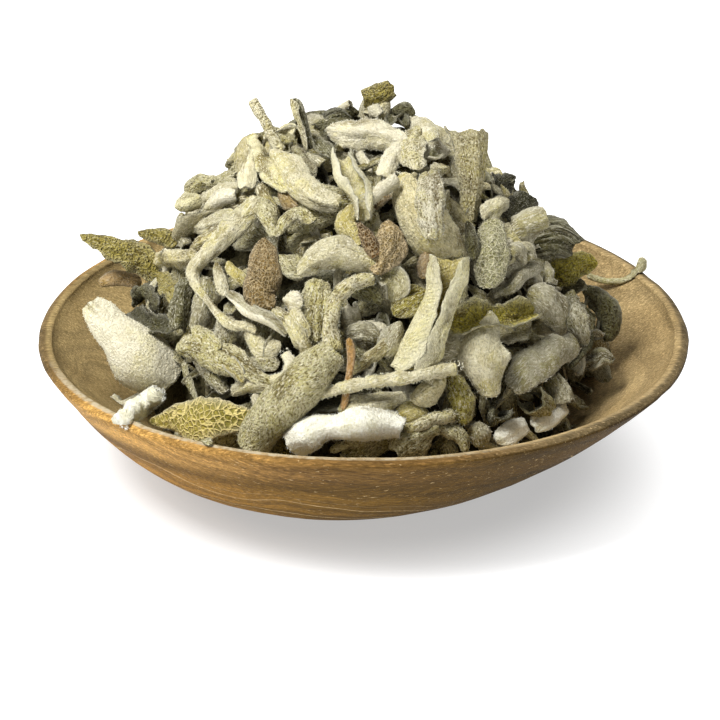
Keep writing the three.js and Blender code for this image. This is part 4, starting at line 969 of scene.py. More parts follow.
def add_stalk(bm, points, row, settings, rng, material):
    """Adds a round woolly stalk: circles laid along the path, bridged, with rounded ends."""
    crinkle = row.get("crinkle", STALK_CRINKLE)
    sheet_layer, look_layer, shade_layer = add_layers(bm)
    path_length = path_mm(points)
    count = max(6, int(path_length / settings.step))
    t = np.linspace(0, 1, count)
    position, _, back, across = frames_along(points, t, TO_SEAT, np.zeros(count))
    near_tip = np.clip(1 - np.minimum(t, 1 - t) * path_length / TIP_LENGTH, 0, 1)
    radius = smooth(row["wide"], t) / 2 * (0.25 + 0.75 * np.sqrt(1 - near_tip ** 2))
    angle = np.arange(STALK_SIDES) * 2 * math.pi / STALK_SIDES
    rings = []
    for i in range(count):
        ring = bmesh.ops.create_circle(bm, segments=STALK_SIDES, radius=1.0)["verts"]
        around = np.cos(angle)[:, None] * across[i] + np.sin(angle)[:, None] * back[i]
        rough = 1 + crinkle * (lumps(position[i] + around * 3, 1.9, row["seed"])
                               + 0.6 * lumps((position[i] + around * 2) * 0.4, 1.0, row["seed"] + 1))
        spots = position[i] + around * (radius[i] * rough)[:, None]
        keep_off_bowl(spots, spots.copy(), OVER_BOWL)
        for vert, spot, turn in zip(ring, spots, angle):
            vert.co = spot * MM
            vert[sheet_layer] = (turn * radius[i], t[i] * path_length, 1.0)
            vert[look_layer] = (row["tint"], 0.0, 0.5)
            vert[shade_layer] = row["back_colour"]
        rings.append(ring)
    faces = []
    for pair in zip(rings, rings[1:]):
        loops = [edge for ring in pair for edge in {
            edge for vert in ring for edge in vert.link_edges if edge.other_vert(vert) in ring}]
        faces += bmesh.ops.bridge_loops(bm, edges=loops)["faces"]
    for ring in (rings[0], rings[-1]):
        faces += bmesh.ops.contextual_create(bm, geom=ring)["faces"]
    bmesh.ops.recalc_face_normals(bm, faces=faces)
    dress_faces(faces, material)
    spokes = unit(np.cross(back[:, None, :], rng.normal(size=(count, 8, 3))))
    skin_places = position[:, None, :] + spokes * smooth(row["wide"], t)[:, None, None] / 2
    note_wool(rng, settings, row, skin_places, spokes, np.ones(spokes.shape[:2]))


WOOL_ROOTS = []                  # places, directions, colours and lengths, added leaf by leaf
BACK_WOOL = 0.75                 # part of a leaf's wool that stands on its back
WOOL_LENGTH = (0.30, 0.07)       # mm, and mm more for a woolly leaf
WOOLLIEST = 3.0
WOOL_TINT = (0.86, 0.82, 0.68)
PALEST_WOOL = 0.85


def note_wool(rng, settings, row, places, spokes, edge):
    """Chooses where wool grows on a leaf: thin on the faces and thick on the margins."""
    area = float(np.sum(np.linalg.norm(np.cross(places[1:, :-1] - places[:-1, :-1],
                                                places[:-1, 1:] - places[:-1, :-1]), axis=-1)))
    woolly = row.get("wool", 1.0)
    count = int(area * settings.wool * WOOL[row["tone"]] * woolly)
    if count < 1:
        return
    weight = (0.25 + 1.6 * edge ** 10).ravel()
    chosen = rng.choice(weight.size, size=count, p=weight / weight.sum())
    lean = unit(rng.normal(size=(count, 3)))
    sign = np.where(rng.random(count) < BACK_WOOL, 1.0, -1.0)[:, None]
    direction = unit(spokes.reshape(-1, 3)[chosen] * sign * 0.8 + lean)
    colour = np.minimum(0.6 * np.array(row["back_colour"]) + 0.5 * np.array(WOOL_TINT), PALEST_WOOL)
    colour = colour * (0.7 + 0.4 * row["tint"])
    shortest, longer = WOOL_LENGTH
    long = shortest + longer * min(woolly, WOOLLIEST)
    WOOL_ROOTS.append((places.reshape(-1, 3)[chosen], direction, np.tile(colour, (count, 1)),
                       np.full(count, long)))


# ---- Finishes ------------------------------------------------------------------------------------


class Finish:
    """A material's node tree, built node by node."""

    def __init__(self, name):
        self.material = bpy.data.materials.new(name)
        self.material.use_nodes = True
        self.tree = self.material.node_tree
        self.tree.nodes.clear()

    def put(self, socket, value):
        """Links a socket to another one, or sets it to a number, a vector or a colour."""
        if isinstance(value, bpy.types.NodeSocket):
            self.tree.links.new(value, socket)
        elif socket.type == "RGBA" and len(value) == 3:
            socket.default_value = (*value, 1.0)
        else:
            socket.default_value = value

    def node(self, kind, settings=None, **inputs):
        made = self.tree.nodes.new("ShaderNode" + kind)
        for key, value in (settings or {}).items():
            setattr(made, key, value)
        for key, value in inputs.items():
            self.put(made.inputs[int(key[1:]) if key[0] == "_" else key.replace("_", " ")], value)
        return made

    def attribute(self, name, output):
        node = self.node("Attribute", {"attribute_type": "GEOMETRY", "attribute_name": name})
        return node.outputs[output]

    def parts(self, vector):
        return self.node("SeparateXYZ", Vector=vector).outputs

    def stretched(self, vector, *scale, by=(0, 0, 0)):
        return self.node("Mapping", Vector=vector, Scale=scale, Location=by).outputs[0]

    def place(self):
        """The place on the object, in mm."""
        return self.stretched(self.node("TexCoord").outputs["Object"], 1 / MM, 1 / MM, 1 / MM)

    def wandering(self, vector, reach, **noise):
        """A place that is pushed about by a noise."""
        push = self.node("TexNoise", Vector=vector, **noise).outputs["Color"]
        return self.node("VectorMath", {"operation": "MULTIPLY_ADD"},
                         _0=push, _1=reach, _2=vector).outputs[0]

    def distance(self, vector):
        return self.node("VectorMath", {"operation": "LENGTH"}, _0=vector).outputs["Value"]

    def maths(self, operation, *values):
        inputs = {f"_{i}": value for i, value in enumerate(values)}
        return self.node("Math", {"operation": operation}, **inputs).outputs[0]

    def raised(self, height, value, amount):
        """A height with an amount of another one on it."""
        return self.maths("ADD", height, self.maths("MULTIPLY", value, amount))

    def noise(self, vector, scale, detail=2.0, roughness=0.5):
        return self.node("TexNoise", Vector=vector, Scale=scale, Detail=detail,
                         Roughness=roughness).outputs[0]

    def bands(self, distance, scale, detail, roughness=0.5):
        """A noise that changes with the distance alone, as growth rings do."""
        return self.node("TexNoise", {"noise_dimensions": "1D"}, W=distance, Scale=scale, Detail=detail,
                         Roughness=roughness).outputs[0]

    def cells(self, vector, scale, feature="F1"):
        return self.node("TexVoronoi", {"feature": feature}, Vector=vector, Scale=scale).outputs[0]

    def ramp(self, value, low, high, start=0.0, end=1.0):
        return self.node("MapRange", {"interpolation_type": "SMOOTHSTEP"}, Value=value, From_Min=low,
                         From_Max=high, To_Min=start, To_Max=end).outputs[0]

    def mix(self, share, first, second, blend="MIX"):
        return self.node("Mix", {"data_type": "RGBA", "blend_type": blend},
                         _0=share, _6=first, _7=second).outputs[2]

    def times(self, value, colour, share=1.0):
        """A colour, with a share of it multiplied by another one."""
        return self.mix(share, value, colour, "MULTIPLY")

    def surface(self, colour, bump_height, bump, distance, roughness, **settings):
        normal = self.node("Bump", Height=bump_height, Strength=bump, Distance=distance).outputs[0]
        shader = self.node("BsdfPrincipled", Base_Color=colour, Normal=normal, Roughness=roughness,
                           **settings)
        output = self.node("OutputMaterial")
        self.tree.links.new(shader.outputs[0], output.inputs[0])
        return self.material


def shade(colour, factor, warm=0.0):
    """A colour made lighter or darker, and warmer where warm is over 0."""
    red, green, blue = colour
    return red * factor * (1 + warm), green * factor, blue * factor * (1 - warm)


def leaf_finish(name, speckle=0.5, net=0.0, pebble=0.4, rough=0.92, sheen=0.25, hairs=0.5, cells=0.80,
                streaks=0.0, stain=1.0, bump=1.0, fur=(0.86, 0.82, 0.66)):
    """Dried leaf felt; net raises veins on it, pebble raises grains and streaks raises fibres."""
    finish = Finish(name)
    ramp, mix, times = finish.ramp, finish.mix, finish.times
    across, along, side = finish.parts(finish.attribute(SHEET, "Vector"))
    tint, margin, crease_shade = finish.parts(finish.attribute(LOOK, "Vector"))
    own = finish.attribute(SHADE, "Color")
    depth = finish.raised(finish.maths("MULTIPLY", tint, 61.0), side, 5.0)
    place = finish.node("CombineXYZ", X=across, Y=along, Z=depth).outputs[0]

    # Its own tint, green stains, brown mottles, painted shade in the creases, dark specks and pale
    # hairs.
    body = times(own, mix(tint, (0.66, 0.65, 0.62), (1.15, 1.15, 1.15)))
    body = times(body, (0.95, 0.93, 0.68), ramp(finish.noise(place, 0.16), 0.45, 0.66, 0.0, stain))
    mottle = ramp(finish.noise(place, 0.33, 3.0), 0.60, 0.36, 0.0, 0.6 * stain)
    body = times(body, (0.62, 0.58, 0.44), mottle)
    body = times(body, (0.32, 0.27, 0.15), ramp(crease_shade, 0.60, 1.0, 0.0, 0.8))
    felt = finish.noise(place, 1.7, 3.0, 0.62)
    body = times(body, (0.26, 0.22, 0.10), ramp(felt, 0.50, 0.40, 0.0, min(1.0, speckle * 1.25)))
    fibre = finish.noise(finish.stretched(place, 1.0, 0.3, 1.0), 3.0, 3.0, 0.7)
    lit = mix(0.55, times(own, (1.35, 1.35, 1.40)), fur)
    body = mix(ramp(fibre, 0.52, 0.62, 0.0, min(1.0, hairs * 1.2)), body, lit)
    height = finish.raised(fibre, felt, 1.6)
    if net > 0:
        wander = finish.wandering(place, (0.8, 0.8, 0.0), Scale=0.8)
        vein = ramp(finish.cells(wander, cells, "DISTANCE_TO_EDGE"), 0.17, 0.03)
        patch = ramp(finish.noise(place, 0.14), 0.40, 0.60)
        inside = mix(patch, times(own, (0.34, 0.38, 0.30)), times(own, (0.74, 0.78, 0.72)))
        lines = mix(0.45, times(own, (1.35, 1.38, 1.5)), fur)
        body = mix(net, body, mix(vein, inside, lines))
        body = times(body, (0.45, 0.42, 0.32), ramp(felt, 0.50, 0.40, 0.0, 0.5 * speckle))
        height = finish.raised(height, vein, 1.2 * net)
    if streaks > 0:
        strand = finish.noise(finish.stretched(place, 1.0, 0.10, 1.0), 1.5, 3.0, 0.6)
        body = times(body, (0.22, 0.22, 0.15), ramp(strand, 0.52, 0.40, 0.0, streaks))
        body = mix(ramp(strand, 0.56, 0.64, 0.0, 0.7 * streaks), body, lit)
        height = finish.raised(height, strand, 4.0 * streaks)
    if pebble > 0:
        # The grains raise bumps; their colour is painted shade in the grooves between them and a
        # painted highlight on their tops.
        grains = finish.cells(place, 1.75, "SMOOTH_F1")
        height = finish.raised(height, grains, -2.6 * pebble)
        body = times(body, (0.34, 0.33, 0.24), ramp(grains, 0.28, 0.66, 0.0, 0.75 * pebble))
        body = mix(ramp(grains, 0.26, 0.08, 0.0, 0.6 * pebble), body, times(own, (1.6, 1.6, 1.8)))
    body = mix(margin, body, mix(0.6, own, (0.80, 0.77, 0.64)))
    return finish.surface(body, height, bump, 0.0008, rough, Sheen_Weight=0.3 * sheen,
                          Sheen_Roughness=0.5, Sheen_Tint=(1.0, 0.95, 0.80), Specular_IOR_Level=0.06)


def wood_finish(settings):
    """Oiled wood: a lip worn pale along its inner edge, a brown outside and a drier inside, with
    painted light to the left, painted shade to the right and a painted shadow under the lip.
    """
    finish = Finish("carved_wood")
    ramp, mix, times, noise = finish.ramp, finish.mix, finish.times, finish.noise
    place = finish.place()
    to_right, to_back, _ = finish.parts(place)
    over, part, _ = finish.parts(finish.attribute(CARVE, "Vector"))
    wander = finish.wandering(place, (26, 26, 26), Scale=0.022, Detail=2.0)
    ring = finish.distance(finish.stretched(wander, 0.25, 1.0, 1.6, by=(120, 40, 150)))
    rings = finish.bands(ring, 0.16, 4.0, 0.6)
    fibre = noise(finish.stretched(wander, 0.09, 1.5, 1.5), 1.0, 4.0, 0.65)
    fine = noise(finish.stretched(place, 0.22, 1.6, 1.6), 1.5, 3.0, 0.7)
    grain = ramp(finish.raised(finish.maths("MULTIPLY", rings, 0.5), fibre, 0.5), 0.36, 0.64)

    # The outside is lighter to the left, a painted light, darker to the right, a painted shade, and
    # darkest in a line under the lip, a painted shadow of the lip.
    left, right = ramp(to_right, 10.0, -60.0), ramp(to_right, -15.0, 60.0)
    outside = mix(grain, shade(settings.outside, 0.70), shade(settings.outside, 1.4))
    outside = times(outside, (1.95, 1.85, 1.9), left)
    outside = times(outside, (0.34, 0.35, 0.27), right)
    # A painted shadow in a line under the lip.
    streak = finish.maths("MULTIPLY", ramp(part, 0.86, 0.90), ramp(part, 0.97, 0.93))
    outside = mix(finish.maths("MULTIPLY", streak, 0.7), outside, shade(settings.outside, 0.55))

    # The lip is golden to the left, a painted highlight; its far left end is dark, and it is darker
    # from the front middle and dull to the right: painted shade.
    lip = times(settings.lip, (1.75, 1.85, 1.9), left)
    lip = mix(ramp(to_right, -62.0, -76.0, 0.0, 0.9), lip, shade(settings.inside, 0.30))
    lip = mix(ramp(to_right, -30.0, 10.0), lip, shade(settings.lip, 0.55))
    lip = mix(ramp(to_right, 20.0, 70.0), lip, shade(settings.inside, 0.38))
    lip = times(lip, mix(grain, (0.62, 0.60, 0.55), (1.4, 1.4, 1.4)))

    inside = mix(grain, shade(settings.inside, 0.78), shade(settings.inside, 1.2))
    inside = times(inside, (0.88, 0.88, 0.80), ramp(to_right, 0.0, -60.0))
    inside = times(inside, (0.66, 0.62, 0.55), ramp(noise(place, 0.05, 4.0, 0.6), 0.40, 0.62, 0.0, 0.5))
    edge = mix(right, ramp(part, 0.90, 0.965), ramp(over, 0.05, 0.20))
    body = mix(ramp(over, 0.42, 0.60), mix(edge, outside, lip), inside)

    # Thin rings outside, fine light and dark fibres, chips all over, and the worn inner edge.
    thin = finish.maths("MULTIPLY", ramp(finish.bands(ring, 0.55, 1.0), 0.70, 0.76, 0.0, 0.6),
                        ramp(part, 0.92, 0.86))
    body = mix(finish.maths("MULTIPLY", thin, ramp(over, 0.5, 0.0)), body, settings.line)
    body = times(body, (1.9, 1.9, 2.0), ramp(fine, 0.53, 0.64, 0.0, 0.85))
    body = times(body, (0.5, 0.46, 0.38), ramp(fine, 0.46, 0.36, 0.0, 0.7))
    chips = noise(finish.stretched(place, 0.5, 1.2, 1.2), 0.9, 3.0, 0.75)
    body = mix(ramp(chips, 0.63, 0.72, 0.0, 0.65), body, shade(settings.line, 1.3))
    worn = ramp(noise(place, 0.5, 3.0, 0.7), 0.35, 0.62, 0.25, 1.0)
    for share in (ramp(over, 0.36, 0.46), ramp(over, 0.86, 0.62), ramp(to_back, -10.0, -35.0),
                  ramp(to_right, 60.0, 10.0, 0.10, 1.0)):
        worn = finish.maths("MULTIPLY", worn, share)
    body = mix(worn, body, settings.worn)
    height = finish.maths("ADD", fibre, fine)
    return finish.surface(body, height, 0.7, 0.0005, 0.62, Specular_IOR_Level=0.10)


def wool_finish():
    """Wool tufts take the colour of the leaf they grow on."""
    finish = Finish("leaf_wool")
    speck = finish.noise(finish.place(), 0.8)
    body = finish.mix(finish.ramp(speck, 0.3, 0.7, 0.0, 0.3), finish.attribute(WOOL_COLOUR, "Color"),
                      (0.8, 0.79, 0.72))
    return finish.surface(body, speck, 0.1, 0.0001, 0.95, Sheen_Weight=0.4, Specular_IOR_Level=0.1)


def litter_finish(colour):
    """The pressed leaves deep in the heap, nearly black: painted shade in the gaps between the leaves.
    """
    finish = Finish("heap_inside")
    place = finish.place()
    felt = finish.noise(place, 1.2, 4.0, 0.7)
    body = finish.mix(finish.ramp(felt, 0.35, 0.65), shade(colour, 0.12, 0.1), shade(colour, 0.45, 0.1))
    height = finish.maths("ADD", felt, finish.cells(place, 0.22))
    return finish.surface(body, height, 0.6, 0.001, 0.95, Specular_IOR_Level=0.1)


def floor_finish(settings):
    """Pale paper that glows, a painted light that lightens the shadow on it, and glows less under the
    bowl, a painted soft shadow.
    """
    finish = Finish("pale_floor")
    flat = finish.node("TexCoord").outputs["Object"]
    away = finish.distance(finish.stretched(flat, 1, 1, 1, by=(-PAINTED_SHADOW_CENTRE[0], -PAINTED_SHADOW_CENTRE[1], 0)))
    glow = finish.ramp(away, *PAINTED_SHADOW_REACH, GLOW_IN_PAINTED_SHADOW * settings.glow, settings.glow)
    return finish.surface(settings.floor, finish.noise(flat, 900.0), 0.02, 0.0001, 0.9,
                          Emission_Color=(1, 1, 1), Emission_Strength=glow)


# For each tone: the slot of its pieces, how woolly it is, and how much pebbling it has in its shape.
WOOL = {"pale": 1.0, "felt": 0.9, "white": 1.6, "cream": 0.6, "yellow": 0.12, "olive": 0.2,
        "brown": 0.35, "dark": 0.3, "tan": 0.1}
PEBBLES = {"pale": 0.25, "felt": 0.5, "white": 0.2, "cream": 0.4, "yellow": 0.5, "olive": 0.9,
           "brown": 0.8, "dark": 0.7, "tan": 0.2}
FINISHES = {
    "pale": dict(speckle=0.28, pebble=0.12, hairs=0.85),
    "felt": dict(speckle=0.68, pebble=0.25, hairs=0.85),
    "white": dict(speckle=0.20, pebble=0.0, sheen=0.4, hairs=0.6, stain=0.5, bump=0.75,
                  fur=(0.93, 0.89, 0.76)),
    "cream": dict(speckle=0.28, pebble=0.15, hairs=0.8),
    "yellow": dict(speckle=0.35, net=0.95, pebble=0.0, cells=0.62, fur=(0.90, 0.80, 0.46)),
    "olive": dict(speckle=0.45, pebble=0.8, hairs=0.45),
    "brown": dict(speckle=1.0, net=0.6, pebble=0.0, cells=1.15, hairs=1.0, fur=(1.0, 0.88, 0.58)),
    "dark": dict(speckle=0.7, pebble=0.5, hairs=0.4, fur=(0.45, 0.44, 0.36)),
    "tan": dict(speckle=0.30, pebble=0.0, rough=0.7, sheen=0.1, hairs=0.4),
    "web": dict(speckle=0.8, net=0.55, pebble=0.2, cells=0.9),
    "streak": dict(speckle=0.4, pebble=0.0, streaks=0.9),
}
KINDS = tuple(FINISHES)          # the order of the finishes in the material slots of a mixed piece
OPEN_SHADE = 0.72                # how much darker a leaf's open side is, where it has no colour of its own: painted shade inside the curl


def leaf_materials():
    """The leaf finishes, in the order of KINDS, made once."""
    return [bpy.data.materials.get(f"{kind}_finish") or leaf_finish(f"{kind}_finish", **looks)
            for kind, looks in FINISHES.items()]


# ---- Pieces --------------------------------------------------------------------------------------


def mesh_from(bm, name):
    mesh = bpy.data.meshes.new(name)
    bm.to_mesh(mesh)
    bm.free()
    return mesh


def place_piece(context, mesh, materials, nodes):
    """A mesh becomes a piece that rides on the body and stands for its nodes."""
    for material in materials:
        mesh.materials.append(material)
    piece = bpy.data.objects.new(mesh.name, mesh)
    context.scene.collection.objects.link(piece)
    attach(piece, "root")
    if nodes:
        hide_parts(*nodes)


def lay_row(bm, row, settings, rng, material):
    """Adds a leaf or a stalk that is laid by sight."""
    points = lay_by_sight(row["path"], row.get("level"))
    if row.get("stalk"):
        add_stalk(bm, points, row, settings, rng, material)
    else:
        add_leaf(bm, points, TO_SEAT, row, settings, settings.step, rng, material)


def dressed(row, index, settings):
    """A row with its own seed, tint, colours and relief."""
    tone = row["tone"]
    is_tube = max(row.get("curl", (0,))) > 180
    ends, tear = ((0.0, 0.0), (0.9, 0.9)) if is_tube else ((0.9, 0.9), (0.2, 0.2))
    back = tuple(getattr(settings, row.get("back", tone)))
    shaded = tuple(OPEN_SHADE * np.array(back))
    open_colour = tuple(getattr(settings, row["open"])) if "open" in row else shaded
    usual = dict(tint=(index * 0.37) % 1.0, finish=tone, pebble=PEBBLES[tone], ends=ends, tear=tear)
    return {**usual, **row, "seed": index + 1, "back_colour": back, "open_colour": open_colour}


# ---- Operators -----------------------------------------------------------------------------------


class SAGE_OT_bowl(bpy.types.Operator):
    """Carve the wooden bowl: its profile is spun, pulled to its uneven oval and dented by the tool"""

    bl_idname = "sage.bowl"
    bl_label = "Carved bowl"

    def execute(self, context):
        settings = context.scene.sage_bowl
        bm = bmesh.new()
        carve = bm.verts.layers.float_vector.new(CARVE)
        outside = [(part, OUTSIDE) for part in (*FOOT_RINGS, *np.linspace(0.33, 1, WALL_RINGS))]
        lip = [(step / LIP_STEPS, LIP) for step in range(1, LIP_STEPS)]
        inside = [(part, INSIDE) for part in (*np.linspace(1 - LIP_WIDTH, 0.1, INSIDE_RINGS), 0)]
        profile = [bm.verts.new((max(part, 1e-6), 0, kind)) for part, kind in outside + lip + inside]
        edges = [bm.edges.new(pair) for pair in zip(profile, profile[1:])]
        bmesh.ops.spin(bm, geom=profile + edges, cent=(0, 0, 0), axis=(0, 0, 1), dvec=(0, 0, 0),
                       angle=2 * math.pi, steps=settings.steps_round, use_merge=True)
        spots = np.array([vert.co for vert in bm.verts])
        kind = spots[:, 2].round().astype(int)
        part = np.hypot(spots[:, 0], spots[:, 1])
        angle = np.arctan2(spots[:, 1], spots[:, 0])
        round_lip = part * math.pi
        part = np.where(kind == LIP, 1 - LIP_WIDTH / 2 + LIP_WIDTH / 2 * np.cos(round_lip), part)
        power = WALL_POWER - WALL_POWER_SWING * np.cos(angle)
        climb = np.clip((part - FOOT_PART) / (1 - FOOT_PART), 0, 1) ** power
        drop, tilt = (LIP_OUTER_DROP + LIP_INNER_DROP) / 2, (LIP_OUTER_DROP - LIP_INNER_DROP) / 2
        height = np.choose(kind, [
            (RIM_HEIGHT - LIP_OUTER_DROP) * climb,
            RIM_HEIGHT - drop - tilt * np.cos(round_lip) + drop * np.sin(round_lip),
            inside_height(part)])
        radius = part * plan_radius(angle)
        shift = np.where(kind == OUTSIDE, FOOT_SHIFT * part, FOOT_SHIFT)
        places = np.stack([shift + radius * np.cos(angle), radius * np.sin(angle),
                           height + warp(part, angle)], axis=-1)
        dents = lumps(places, LARGE_MARK, 5) + SMALL_MARK_DEPTH * lumps(places, SMALL_MARK, 6)
        free = np.clip((part - FOOT_PART) * 6, 0, 1)
        outward = np.stack([np.cos(angle), np.sin(angle), np.zeros_like(angle)], axis=-1)
        marks = settings.tool_marks * free
        places[:, 2] += np.where(kind == INSIDE, 1.0, 0.6) * marks * dents
        places -= outward * (marks * np.abs(dents) * (kind != INSIDE))[:, None]
        over = np.choose(kind, [np.zeros_like(part), np.clip(round_lip / math.pi, 0, 1),
                                np.ones_like(part)])
        for vert, place, progress, reach in zip(bm.verts, places.tolist(), over, part):
            vert.co = Vector(place) * MM
            vert[carve] = (progress, reach, 0.0)
        bmesh.ops.remove_doubles(bm, verts=bm.verts, dist=0.002 * MM)
        bmesh.ops.recalc_face_normals(bm, faces=bm.faces)
        dress_faces(bm.faces)
        mesh = mesh_from(bm, "carved_bowl")
        place_piece(context, mesh, [wood_finish(settings)], ["wooden_bowl"])
        return {"FINISHED"}


class SAGE_OT_named_leaves(bpy.types.Operator):
    """Lay the large leaves, rolls and stalks of the front and the top, each its own piece"""

    bl_idname = "sage.named_leaves"
    bl_label = "Large leaves"

    def execute(self, context):
        settings = context.scene.sage_leaves
        materials = dict(zip(KINDS, leaf_materials()))
        rng = np.random.default_rng(LARGE_WOOL_SEED)
        for number, (name, rows) in enumerate(LEAVES.items()):
            bm = bmesh.new()
            rows = [dressed(row, 3 * number + part, settings) for part, row in enumerate(rows)]
            kinds = list(dict.fromkeys(row["finish"] for row in rows))
            for row in rows:
                lay_row(bm, row, settings, rng, kinds.index(row["finish"]))
            place_piece(context, mesh_from(bm, name + "_visual"), [materials[kind] for kind in kinds],
                        [name])
        return {"FINISHED"}


class SAGE_OT_smaller_leaves(bpy.types.Operator):
    """Lay the smaller leaves, buds and stalks between the large ones"""

    bl_idname = "sage.smaller_leaves"
    bl_label = "Leaves between"

    def execute(self, context):
        settings = context.scene.sage_leaves
        rng = np.random.default_rng(BETWEEN_WOOL_SEED)
        bm = bmesh.new()
        for number, row in enumerate(SMALLER):
            row = dressed(row, FIRST_BETWEEN + number, settings)
            lay_row(bm, row, settings, rng, KINDS.index(row["finish"]))
        place_piece(context, mesh_from(bm, "leaves_between"), leaf_materials(), [])
        return {"FINISHED"}


def to_skin(point, out):
    """Moves a point along the heap's normal until it lies this far out of the skin."""
    point = np.array(point, float)
    for _ in range(3):
        normal = skin_normal(point[0], point[1])
        point -= normal * ((point[2] - skin(point[0], point[1])) * normal[2])
    return point + skin_normal(point[0], point[1]) * out


def heading_on(normal, turn):
    """A direction in the skin, turned about its normal."""
    level = unit(np.array([1.0, 0, 0]) - normal[0] * normal)
    return level * math.cos(turn) + np.cross(normal, level) * math.sin(turn)


def fill_row(k, draw):
    """The k-th fill leaf of the solids: its base, normal, heading, length and shape."""
    part = ((k + 0.5) / FILL_LEAVES) ** 0.37
    around = k * 137.5 * DEG + 0.5 * draw()
    x = HEAP_CENTRE[0] + part * HEAP_RADIUS * math.cos(around)
    y = HEAP_CENTRE[1] + part * HEAP_RADIUS * math.sin(around)
    normal = skin_normal(x, y)
    heading = heading_on(normal, 2 * math.pi * draw())
    length = 24 + 14 * draw()
    wide = 10 + 5 * draw()
    is_open = draw() < 0.3
    curl = 70 + 80 * draw()
    turn = (180 if is_open else 0) + 60 * (draw() - 0.5)
    base = np.array([x, y, skin(x, y)])
    return base, normal, heading, length, dict(wide=[3, 5, wide, 3], curl=[curl], turn=[turn])


def as_packed(tree, base, normal, heading, length, row):
    """The fill leaf's path at the depth that the solids have it, or nothing where they left it out."""
    best, most = None, 3
    for sink in FILL_SINKS:
        points = np.array([to_skin(base + step * length * heading, out - sink)
                           for step, out in FILL_STEPS])
        t = np.array([0.5, 0.75, 1.0])
        position, _, back, across = frames_along(points, t, normal, np.repeat(row["turn"][0] * DEG, 3))
        half = np.repeat(min(row["curl"][0], FULLEST_CURL) * DEG / 2, 3)
        wide = np.maximum(smooth(row["wide"], t), NARROWEST)
        radius = wide / 2 / np.sin(np.minimum(half, math.pi / 2))
        centre = position - back * (radius * np.sin(half) / half)[:, None]
        found = 0
        for side in (-1, 0, 1):
            spoke = across * np.sin(side * half)[:, None] + back * np.cos(side * half)[:, None]
            for corner in centre + spoke * (radius + 0.5)[:, None]:
                nearest = tree.find_nearest(Vector(corner * MM))
                found += nearest[3] is not None and nearest[3] < 0.15 * MM
        if found > most:
            best, most = points, found
    return best


class SAGE_OT_packed_leaves(bpy.types.Operator):
    """Fill the heap: the leaves that the solids hold, and the inside, nearly black with painted shade
    """

    bl_idname = "sage.packed_leaves"
    bl_label = "Packed leaves"

    def execute(self, context):
        settings = context.scene.sage_leaves
        materials = leaf_materials() + [litter_finish(tuple(settings.dark))]
        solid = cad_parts["packed_leaves"]
        tree = BVHTree.FromObject(solid, context.evaluated_depsgraph_get())
        draw = random_stream(FILL_SEED)
        rng = np.random.default_rng(FILL_WOOL_SEED)
        bm = bmesh.new()
        for k in range(FILL_LEAVES):
            base, normal, heading, length, row = fill_row(k, draw)
            points = as_packed(tree, base, normal, heading, length, row)
            if points is None:
                continue
            tone = FILL_TONES[k % len(FILL_TONES)]
            row = dressed(dict(row, tone=tone, ragged=0.2), FIRST_FILL + k, settings)
            add_leaf(bm, points, normal, row, settings, COARSE_STEP, rng, KINDS.index(tone))
        self.add_inside(bm)
        mesh = mesh_from(bm, "packed_leaves_visual")
        place_piece(context, mesh, materials, ["packed_leaves"])
        return {"FINISHED"}

    @staticmethod
    def add_inside(bm):
        """The core: a ball pressed to the shape of the heap's inside."""
        ball = bmesh.ops.create_icosphere(bm, subdivisions=5, radius=1.0)["verts"]
        spots = np.array([vert.co for vert in ball])
        part = np.minimum(np.hypot(spots[:, 0], spots[:, 1]), 0.999)
        x = HEAP_CENTRE[0] + spots[:, 0] * CORE_PART * HEAP_RADIUS
        y = HEAP_CENTRE[1] + spots[:, 1] * CORE_PART * HEAP_RADIUS
        top = CORE_FOOT_Z + (HEAP_TOP_Z - CORE_DEPTH - CORE_FOOT_Z) * (1 - part ** CORE_POWER)
        floor = bowl_inside(x, y) + FLOOR_GAP
        share = np.clip(spots[:, 2] * 2 + 0.5, 0, 1)
        z = floor * (1 - share) + np.maximum(top, floor + 2) * share
        places = np.stack([x, y, z], axis=-1)
        places[:, 2] -= 3.0 * (1 + lumps(places, 5.0, 9)) * share
        places[:, 2] = np.maximum(places[:, 2], floor)
        for vert, place in zip(ball, places.tolist()):
            vert.co = Vector(place) * MM
        # The core takes the slot after the leaf finishes: its nearly black finish is painted shade.
        dress_faces({face for vert in ball for face in vert.link_faces}, len(KINDS))


